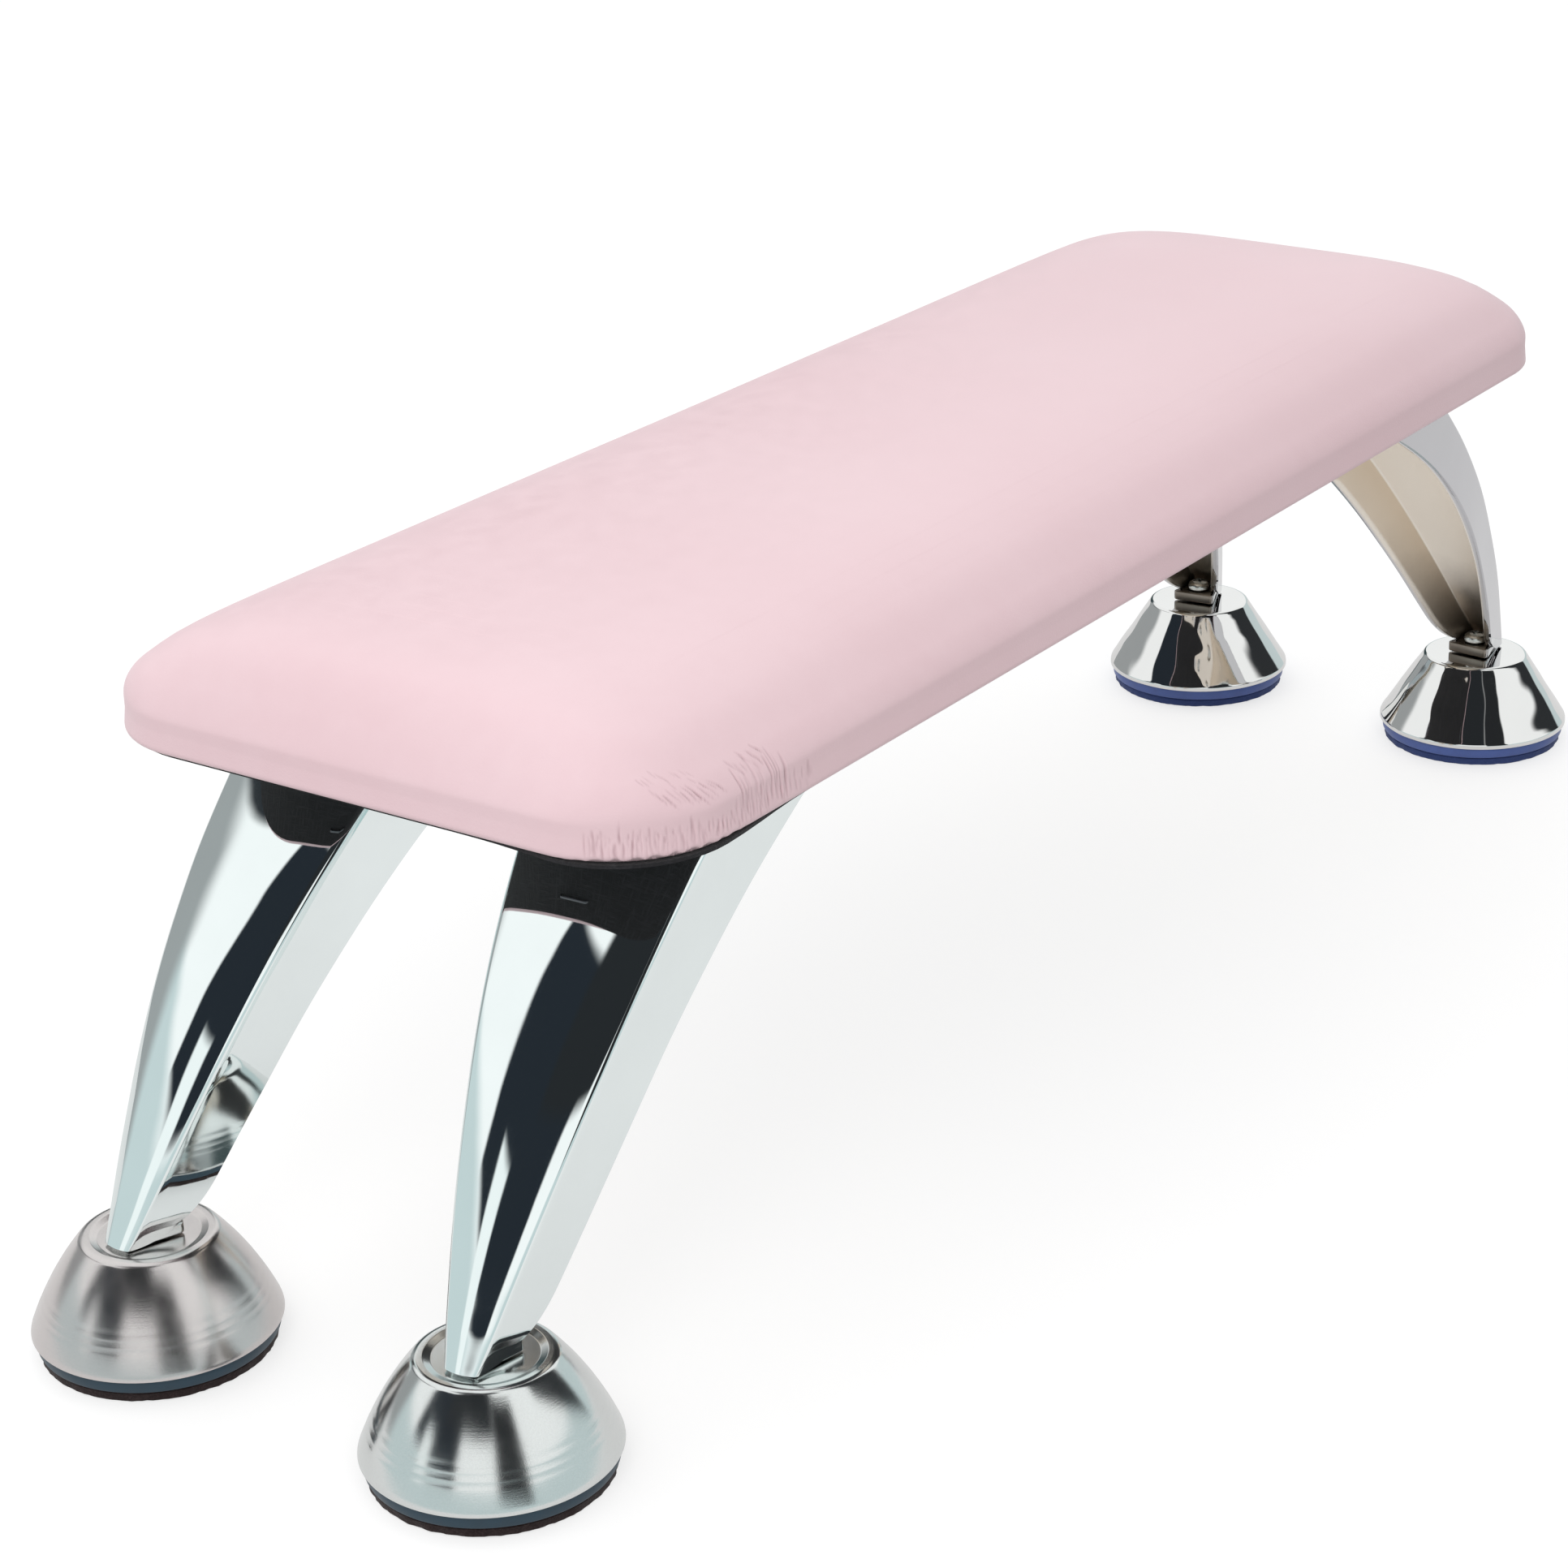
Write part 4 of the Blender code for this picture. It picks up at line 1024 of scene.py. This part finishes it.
def shellProfile(radius, rim, top, near):
    bore, wall, shoulder = foot["bore"], foot["wall"], foot["shoulder"] - 0.0002
    if near:
        # a shallow seat, a rounded shoulder, and a bulged cone that rolls over to the rim
        seat, deep = foot["dish"]
        high, low = Vector((shoulder, top)), Vector((radius - 0.0002, rim + 0.0008))
        chord = low - high
        middle = (low + high) / 2 + Vector((-chord.y, chord.x)).normalized() * foot["bulge"]
        outer = filleted([(bore, top), (seat, top), (seat + 0.0012, top + deep), (shoulder, top + deep),
                          middle], [0.0006, 0.0006, 0.0017])[:-1]
        start = outer[-1]
        outer += [start * (1 - t) ** 2 + middle * 2 * t * (1 - t) + low * t ** 2
                  for t in (k / 40 for k in range(1, 41))]
        outer += [Vector((radius - 0.00005, rim + 0.0003)), Vector((radius, rim))]
    else:
        outer = filleted([(bore, top), (shoulder, top), (radius, rim + foot["farSkirt"]), (radius, rim)],
                         [0.0010, 0.0012])
    marked = []
    for a, b in zip(outer, outer[1:] + outer[-1:]):
        pieces = max(1, int((b - a).length / 0.0004))
        for p in (a.lerp(b, k / pieces) for k in range(pieces)):
            cut = sum(math.exp(-((p.y - rim - h) / 0.00025) ** 2) for h in foot["grooves"]) if near else 0
            marked.append((p.x - foot["grooveDepth"] * cut * (p.x > foot["shoulder"]), p.y))
    skirt = foot["innerSkirt"] if near else foot["farSkirt"]
    inner = filleted([(bore, top - wall), (foot["shoulder"] - 0.0006, top - wall),
                      (radius - wall, rim + skirt), (radius - wall, rim)], [0.0012, 0.0006], 4)
    return marked + [(p.x, p.y) for p in reversed(inner)]


def ringProfile(radius, low, high, collar, collarTop):
    bore, inner = foot["ringBore"], collar - 0.0016
    return [(collar, collarTop), (collar, high), (radius - 0.0003, high), (radius - 0.0001, high - 0.0001),
            (radius, high - 0.0003), (radius, low + 0.0003), (radius - 0.0001, low + 0.0001),
            (radius - 0.0003, low), (bore, low), (bore, low + 0.0015), (inner, low + 0.0015),
            (inner, collarTop)]


def feltProfile(radius, top):
    return [(0.0, top), (radius * 0.5, top), (radius - 0.0002, top), (radius, top - 0.0002),
            (radius, 0.0002), (radius - 0.0002, 0.0), (radius * 0.5, 0.0), (0.0, 0.0)]


def makeFeet():
    for corner, sides in corners.items():
        boxes = [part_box(f"foot_{part}_{corner}") for part in ("shell", "ring", "felt")]
        (rim, top), (low, collarTop), (_, feltTop) = [(box[0].z, box[1].z) for box in boxes]
        radius, ringRadius, feltRadius = [(box[1].x - box[0].x) / 2 for box in boxes]
        centre = (sides[0] * leg["standX"], sides[1] * leg["standY"])
        near = sides[0] < 0
        shell = turnedMesh("coneFoot", shellProfile(radius, rim, top, near), centre, foot["turns"])
        if near:
            colour, roughness = foot["satin"][corner]
            look = satinMaterial(f"satinNickel_{corner}", colour, (*centre, 0), roughness)
        else:
            look = looks["farCone"]
            ripple(shell, centre, radius, 70 + len(corner))
        profile = ringProfile(min(ringRadius - 0.00001, radius - 0.0006), low, rim - 0.0003,
                              radius - foot["wall"] - 0.0003, collarTop)
        ring = turnedMesh("baseRing", profile, centre, foot["turns"])
        felt = feltMesh(feltRadius, feltTop, centre, 60 + len(corner))
        ringLook = looks["nearRing" if near else "farRing"]
        feltLook = looks["felt" if near else "farFeltRingShade"]
        finishPiece(linkObject(f"coneFoot_{corner}", shell), look, "chrome", f"foot_shell_{corner}")
        finishPiece(linkObject(f"baseRing_{corner}", ring), ringLook, "blue_plastic", f"foot_ring_{corner}")
        finishPiece(linkObject(f"feltPad_{corner}", felt), feltLook, "felt", f"foot_felt_{corner}")
    print("feet made")


def pushOut(mesh, centre, change):
    # moves each point out from an upright axis, by what change says of the points and their distances
    points = np.array([v.co for v in mesh.vertices])
    flat = points[:, :2] - np.array(centre)
    size = np.linalg.norm(flat, axis=1)
    points[:, :2] += flat / np.maximum(size, 1e-9)[:, None] * change(points, size)[:, None]
    mesh.vertices.foreach_set("co", points.ravel())
    mesh.update()


def ripple(mesh, centre, radius, seed):
    # the polished cone isn't quite true, which bends what it mirrors
    def change(points, size):
        calm = np.clip((size - 0.0112) / 0.0015, 0, 1)
        return np.minimum(np.minimum(noise3(points, 330, seed, 20), 0.6) * foot["wave"] * calm, radius - size)
    pushOut(mesh, centre, change)


def feltMesh(radius, top, centre, seed):
    # the cut edge of the felt is a little ragged
    def change(points, size):
        rim = size > radius - 0.001
        return np.clip(noise3(points * [1, 1, 2.0], 2200, seed, 30), -2, 1) * 0.00012 * rim - 0.00012 * rim
    mesh = turnedMesh("feltPad", feltProfile(radius, top), centre, 144)
    pushOut(mesh, centre, change)
    return mesh


makeFeet()


# Screws, bolts, nuts and staples, from Geometry Nodes

class NodeTree:
    # a Geometry Nodes tree with named inputs, built a node at a time
    def __init__(self, name, sizes):
        self.tree = bpy.data.node_groups.new(name, "GeometryNodeTree")
        face = self.tree.interface
        face.new_socket("Geometry", in_out="INPUT", socket_type="NodeSocketGeometry")
        for label, value in sizes.items():
            kind = "NodeSocketInt" if isinstance(value, int) else "NodeSocketFloat"
            face.new_socket(label, in_out="INPUT", socket_type=kind).default_value = value
        face.new_socket("Finish", in_out="INPUT", socket_type="NodeSocketMaterial")
        face.new_socket("Geometry", in_out="OUTPUT", socket_type="NodeSocketGeometry")
        self.start = self.tree.nodes.new("NodeGroupInput")
        self.end = self.tree.nodes.new("NodeGroupOutput")

    def add(self, kind, links=None, **settings):
        node = self.tree.nodes.new(kind)
        for key, value in settings.items():
            setattr(node, key, value)
        for key, value in (links or {}).items():
            socket = node.inputs[key]
            if isinstance(value, bpy.types.NodeSocket):
                self.tree.links.new(value, socket)
            else:
                socket.default_value = value
        return node

    def size(self, label):
        return self.start.outputs[label]

    def sum(self, first, second, operation="ADD"):
        return self.add("ShaderNodeMath", {0: first, 1: second}, operation=operation).outputs[0]

    def vector(self, x=0.0, y=0.0, z=0.0):
        return self.add("ShaderNodeCombineXYZ", {"X": x, "Y": y, "Z": z}).outputs[0]

    def joined(self, *parts):
        node = self.add("GeometryNodeJoinGeometry")
        for part in parts:
            self.tree.links.new(part, node.inputs[0])
        return node.outputs[0]

    def finish(self, geometry):
        whole = self.add("GeometryNodeRealizeInstances", {"Geometry": geometry}).outputs[0]
        painted = self.add("GeometryNodeSetMaterial", {"Geometry": whole, "Material": self.size("Finish")})
        self.tree.links.new(painted.outputs[0], self.end.inputs[0])
        return self.tree


def instancesAt(tree, shape):
    # one copy on each point, turned round Z by the point's own angle
    turn = tree.add("GeometryNodeInputNamedAttribute", {"Name": "turn"}, data_type="FLOAT").outputs[0]
    return tree.add("GeometryNodeInstanceOnPoints", {"Points": tree.start.outputs[0], "Instance": shape,
                                                     "Rotation": tree.vector(z=turn)}).outputs[0]


fasteners = {
    # radius and height of the head, radius of the shank, and 1 where the head is below or -1 above
    "screw": (0.0035, 0.0022, 0.00175, 1),
    "bolt": (0.0027, 0.0019, 0.0016, -1),
    # shares of the head's radius and height, from its middle outwards
    "head": ((0, 0.96), (0.35, 1), (0.62, 0.95), (0.84, 0.78), (0.96, 0.52), (1, 0.28), (1, 0.06), (0.97, 0)),
    "recess": 0.0008,
    "pitch": 0.0009,
    "nutWidth": 0.0060,
}


def fastenerMesh(name, kind, full, places):
    # heads and shanks on every place: the profile is spun here, and copied by Geometry Nodes
    headRadius, headHeight, shank, way = fasteners[kind]
    length = full - headHeight
    profile = [(headRadius * r, -headHeight * h) for r, h in fasteners["head"]] + [(shank, 0.0)]
    pitch, height = fasteners["pitch"], 0.0004
    while height + pitch < length - shank:
        profile += [(shank * 0.78, height + pitch * 0.3), (shank, height + pitch * 0.6)]
        height += pitch
    profile += [(shank * 0.78, length - shank), (shank * 0.35, length), (0.0, length)]
    master = linkObject("fastenerMaster", turnedMesh("fastenerMaster", profile, (0, 0), 28))
    shape = bmesh.new()
    arm, recess = headRadius * 1.1, fasteners["recess"]
    for size in ((arm, recess), (recess, arm)):
        matrix = Matrix.Translation((0, 0, -headHeight)) @ Matrix.Diagonal((*size, headHeight * 1.1, 1))
        bmesh.ops.create_cube(shape, size=1.0, matrix=matrix)
    cutter = linkObject("recess", meshOf("recess", shape))
    cutWith(master, cutter).use_self = True
    master = bakedObject(master, "fastenerMaster", 35)
    bpy.data.objects.remove(cutter, do_unlink=True)
    if way < 0:
        master.data.transform(Matrix.Rotation(math.pi, 4, "X"))
    return copiesOn(name, master, places, looks["zinc"])


def pointCloud(name, places):
    mesh = bpy.data.meshes.new(name)
    mesh.from_pydata([p[0] for p in places], [], [])
    turn = mesh.attributes.new("turn", "FLOAT", "POINT")
    turn.data.foreach_set("value", [p[1] for p in places])
    return linkObject(name, mesh)


def grownOn(name, places, group, values):
    # runs a tree on a cloud of places, and keeps the plain mesh
    points = pointCloud(name, places)
    modifier = points.modifiers.new(name, "NODES")
    modifier.node_group = group
    for item in group.interface.items_tree:
        if item.item_type == "SOCKET" and item.in_out == "INPUT" and item.name in values:
            modifier[item.identifier] = values[item.name]
    return bakedObject(points, name, 35)


def copiesOn(name, master, places, finish):
    tree = NodeTree(name + "Copies", {"Size": 1.0})
    source = tree.add("GeometryNodeObjectInfo", {"Object": master}).outputs["Geometry"]
    scale = tree.vector(*[tree.size("Size")] * 3)
    grown = tree.add("GeometryNodeTransform", {"Geometry": source, "Scale": scale}).outputs[0]
    made = grownOn(name, places, tree.finish(instancesAt(tree, grown)), {"Size": 1.0, "Finish": finish})
    bpy.data.objects.remove(master, do_unlink=True)
    return made


staple = {"Crown": 0.0094, "Leg length": 0.006, "Wire": 0.0006, "Bend": 0.0007, "Sides": 8}


def stapleTree():
    tree = NodeTree("staples", staple)
    half = tree.sum(tree.size("Crown"), 0.5, "MULTIPLY")
    other = tree.sum(half, -1.0, "MULTIPLY")
    tall = tree.size("Leg length")
    ends = [tree.vector(x, 0.0, z) for x, z in ((other, tall), (other, 0.0), (half, 0.0), (half, tall))]
    sides = []
    for start, end in zip(ends, ends[1:]):
        line = tree.add("GeometryNodeCurvePrimitiveLine", {"Start": start, "End": end}).outputs[0]
        sides.append(tree.add("GeometryNodeCurveToMesh", {"Curve": line}).outputs[0])
    joined = tree.joined(*sides)
    welded = tree.add("GeometryNodeMergeByDistance", {"Geometry": joined, "Distance": 1e-6}).outputs[0]
    route = tree.add("GeometryNodeMeshToCurve", {"Mesh": welded}).outputs[0]
    bent = tree.add("GeometryNodeFilletCurve", {"Curve": route, "Count": 5, "Radius": tree.size("Bend"),
                                                "Limit Radius": True}, mode="POLY").outputs[0]
    wire = tree.sum(tree.size("Wire"), 0.5, "MULTIPLY")
    ring = tree.add("GeometryNodeCurvePrimitiveCircle", {"Resolution": tree.size("Sides"), "Radius": wire})
    tube = tree.add("GeometryNodeCurveToMesh", {"Curve": bent, "Profile Curve": ring.outputs[0],
                                                "Fill Caps": True})
    return tree.finish(instancesAt(tree, tube.outputs[0]))


def makeStaples():
    nodes = [f"staple_{number:02d}" for number in range(1, 13)]
    places = []
    for low, high in (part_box(node) for node in nodes):
        turn = 0.0 if high.x - low.x > high.y - low.y else math.pi / 2
        places.append((((low.x + high.x) / 2, (low.y + high.y) / 2, low.z + staple["Wire"] / 2), turn))
    values = {**staple, "Leg length": high.z - low.z - staple["Wire"] / 2, "Finish": looks["wire"]}
    staples = grownOn("staples", places, stapleTree(), values)
    finishPiece(staples, looks["wire"], "staple_steel", *nodes)
    print("staples made:", len(staples.data.polygons), "faces")


def makeFasteners():
    rng = np.random.default_rng(8)
    nodes = {"screw": [], "bolt": [], "nut": []}
    spots = {"screw": [], "bolt": [], "nut": []}
    for corner, sides in corners.items():
        stand = legStand(*sides)
        places = [("screw", f"leg_screw_{corner}_{number}", (u, w, 0), 3.1)
                  for number, (u, w) in enumerate(screwPlaces(), 1)]
        places.append(("bolt", f"foot_bolt_{corner}", (0, 0, 0), 3.1))
        places.append(("nut", f"foot_nut_{corner}", (0, 0, 0), 1))
        for kind, node, place, most in places:
            low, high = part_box(node)
            heights = {"screw": low.z + fasteners["screw"][1], "bolt": high.z - fasteners["bolt"][1],
                       "nut": low.z}
            at = stand @ Vector(place)
            nodes[kind].append(node)
            spots[kind].append(((at.x, at.y, heights[kind]), float(rng.uniform(0, most))))
    for kind, name in (("screw", "legScrews"), ("bolt", "footBolts"), ("nut", "footNuts")):
        low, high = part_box(nodes[kind][0])
        if kind == "nut":
            made = copiesOn(name, nutMaster(high.z - low.z), spots[kind], looks["zinc"])
        else:
            made = fastenerMesh(name, kind, high.z - low.z, spots[kind])
        finishPiece(made, looks["zinc"], "zinc_screw", *nodes[kind])
    print("fasteners made:", *[len(spots[kind]) for kind in spots])


def nutMaster(height):
    # hexagon with eased corners and a plain hole
    radius = fasteners["nutWidth"] / math.sqrt(3)
    shape = bmesh.new()
    bmesh.ops.create_cone(shape, cap_ends=True, segments=6, radius1=radius, radius2=radius, depth=height,
                          matrix=Matrix.Translation((0, 0, height / 2)))
    bmesh.ops.bevel(shape, geom=shape.edges[:], offset=0.0002, segments=2, profile=0.5, affect="EDGES")
    nut = linkObject("nutMaster", meshOf("nutMaster", shape))
    drill = bmesh.new()
    bmesh.ops.create_cone(drill, cap_ends=True, segments=24, radius1=leg["boltHole"], radius2=leg["boltHole"],
                          depth=height * 3)
    cutter = linkObject("drill", meshOf("drill", drill))
    cutWith(nut, cutter)
    made = bakedObject(nut, "nutMaster", 30)
    bpy.data.objects.remove(cutter, do_unlink=True)
    return made


makeStaples()
makeFasteners()

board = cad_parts["base_board"]
board.data.materials.clear()
board.data.materials.append(looks["plywood"])


# Floor, light and camera

studio = {
    "floorColour": (0.36, 0.36, 0.36),
    "background": (0.97, 0.97, 0.97),
    # light on everything that isn't a mirror: its level, and how it grows upwards, to +X and to +Y
    "fill": (0.93, 0.0, 0.42, 0.75),
    # what the chrome sees: a pale horizon, a white tent above it, and panels in it
    "horizon": (0.60, 0.70, 0.71),
    "tent": (1.00, 1.02, 1.02),
    "tentFoot": (16, 5),     # where it starts above the horizon, and how softly, in degrees
    # each from and to round the sky, from and to above the horizon, lean of its sides and of its upper and
    # lower edge, all in degrees, then the softness of its edges and its colour
    "panels": (
        (35, 62, -10, 24, 0.0, 0.0, 4, (0.05, 0.075, 0.08)),
        (60, 108, -10, 25, 0.0, 0.0, 10, (0.36, 0.38, 0.385)),
        (99, 107, 13, 42, 1.6, 0.0, 2.5, (0.03, 0.035, 0.04)),
        (136, 187, 17, 48, 0.2, 0.0, 2, (0.019, 0.025, 0.033)),
        (165, 224, 33, 64, 0.0, 0.0, 4, (0.021, 0.024, 0.027)),
        (130, 245, 62, 80, 0.0, 0.0, 4, (0.07, 0.07, 0.075)),
        (146, 157, 12, 25, 0.0, 0.0, 2, (0.95, 1.0, 1.0)),
        (224, 252, 12, 46, 0.0, -0.17, 3, (0.022, 0.024, 0.026)),
        (287, 335, 19.5, 90, 0.0, -0.66, 3, (0.03, 0.033, 0.036)),
    ),
    "keyEnergy": 5.0,
    "keySize": (0.8, 0.6),
    "keyPlace": (-0.75, -0.50, 0.65),
    # the floor glows a little, so that its shadows stay pale
    "floorGlow": 0.68,
    # how bright it is to the surfaces that it lights, and to those that mirror it
    "floorBounce": 0.54,
    "floorMirror": 0.75,
}


def softStep(tree, value, middle, softness):
    return rangeNode(tree, value, middle - softness / 2, middle + softness / 2, kind="SMOOTHSTEP")


def panelShare(tree, azimuth, height, panel):
    # how much of a panel covers a direction
    first, last, low, high, sideLean, edgeLean, softness, _ = panel

    def lean(value, other, middle, amount):
        shift = mathNode(tree, "MULTIPLY", mathNode(tree, "SUBTRACT", other, middle), amount)
        return mathNode(tree, "SUBTRACT", value, shift)

    leaned = lean(azimuth, height, 30.0, sideLean)
    tilted = lean(height, azimuth, (first + last) / 2, edgeLean)
    share = softStep(tree, leaned, first, softness)
    for value, edge, rising in ((leaned, last, False), (tilted, low, True), (tilted, high, False)):
        step = softStep(tree, value, edge, softness)
        if not rising:
            step = mathNode(tree, "SUBTRACT", 1.0, step)
        share = mathNode(tree, "MULTIPLY", share, step)
    return share


def makeSky():
    world = bpy.data.worlds.new("studio")
    world.use_nodes = True
    bpy.context.scene.world = world
    tree = world.node_tree
    tree.nodes.clear()
    apart = addNode(tree, "ShaderNodeSeparateXYZ")
    tree.links.new(addNode(tree, "ShaderNodeTexCoord").outputs["Generated"], apart.inputs[0])
    x, y, z = apart.outputs
    degrees = 180 / math.pi
    turned = mathNode(tree, "MULTIPLY", mathNode(tree, "ARCTAN2", y, x), degrees)
    azimuth = mathNode(tree, "FLOORED_MODULO", turned, 360.0)
    height = mathNode(tree, "MULTIPLY", mathNode(tree, "ARCSINE", z), degrees)
    mirror = mixColours(tree, softStep(tree, height, *studio["tentFoot"]), studio["horizon"], studio["tent"])
    for panel in studio["panels"]:
        mirror = mixColours(tree, panelShare(tree, azimuth, height, panel), mirror, panel[-1])
    # an even, gently graded light for everything that isn't a mirror
    soft, *growth = studio["fill"]
    for axis, amount in zip((z, x, y), growth):
        soft = mathNode(tree, "ADD", mathNode(tree, "MULTIPLY", axis, amount), soft)
    path = addNode(tree, "ShaderNodeLightPath")
    lit = mixColours(tree, path.outputs["Is Glossy Ray"], soft, mirror)
    seen = mixColours(tree, path.outputs["Is Camera Ray"], lit, studio["background"])
    shade = addNode(tree, "ShaderNodeBackground")
    tree.links.new(seen, shade.inputs["Color"])
    tree.links.new(shade.outputs[0], addNode(tree, "ShaderNodeOutputWorld").inputs[0])


def makeLamp():
    key = bpy.data.lights.new("key", "AREA")
    key.shape = "RECTANGLE"
    key.size, key.size_y = studio["keySize"]
    key.energy = studio["keyEnergy"]
    lamp = linkObject("key", key)
    lamp.location = studio["keyPlace"]
    aim = Vector((0, 0, 0.1)) - lamp.location
    lamp.rotation_euler = aim.to_track_quat("-Z", "Y").to_euler()
    lamp.visible_glossy = False


def makeFloor():
    shape = bmesh.new()
    bmesh.ops.create_grid(shape, x_segments=8, y_segments=8, size=6.0)
    floor = linkObject("floor", meshOf("floor", shape))
    floor.location.z = -0.0002
    material, tree, shader = newMaterial("floor", studio["floorColour"], 0.9, specular=0.0)
    rays = addNode(tree, "ShaderNodeLightPath").outputs
    share = 1.0
    for kind, part in (("Is Diffuse Ray", studio["floorBounce"]), ("Is Glossy Ray", studio["floorMirror"])):
        share = mathNode(tree, "SUBTRACT", share, mathNode(tree, "MULTIPLY", rays[kind], 1 - part))
    feed(shader, mixColours(tree, share, (0, 0, 0), studio["floorColour"]))
    shader.inputs["Emission Color"].default_value = (1, 1, 1, 1)
    glow = mathNode(tree, "MULTIPLY", share, studio["floorGlow"])
    tree.links.new(glow, shader.inputs["Emission Strength"])
    floor.data.materials.append(material)


def makeCamera():
    # worked out from the pad's edges and the foot rims in the photograph
    yaw, pitch, roll = 0.62123, -0.39437, 0.033585
    focal, picture, sensor = 4461.33, 1932, 36.0
    ahead = np.array([math.cos(pitch) * math.cos(yaw), math.cos(pitch) * math.sin(yaw), math.sin(pitch)])
    right = np.array([math.sin(yaw), -math.cos(yaw), 0.0])
    down = np.cross(ahead, right)
    c, s = math.cos(roll), math.sin(roll)
    columns = (c * right + s * down, s * right - c * down, -ahead)
    turn = Matrix([[columns[k][row] for k in range(3)] for row in range(3)]).to_4x4()
    data = bpy.data.cameras.new("camera")
    data.sensor_width = sensor
    data.sensor_fit = "AUTO"
    data.lens = focal / picture * sensor
    data.clip_start = 0.01
    data.clip_end = 50
    camera = linkObject("camera", data)
    camera.matrix_world = Matrix.Translation((-0.55542808, -0.36508526, 0.32218521)) @ turn
    bpy.context.scene.camera = camera


bpy.context.scene.view_settings.view_transform = "Standard"
makeSky()
makeLamp()
makeFloor()
makeCamera()
print("studio made")
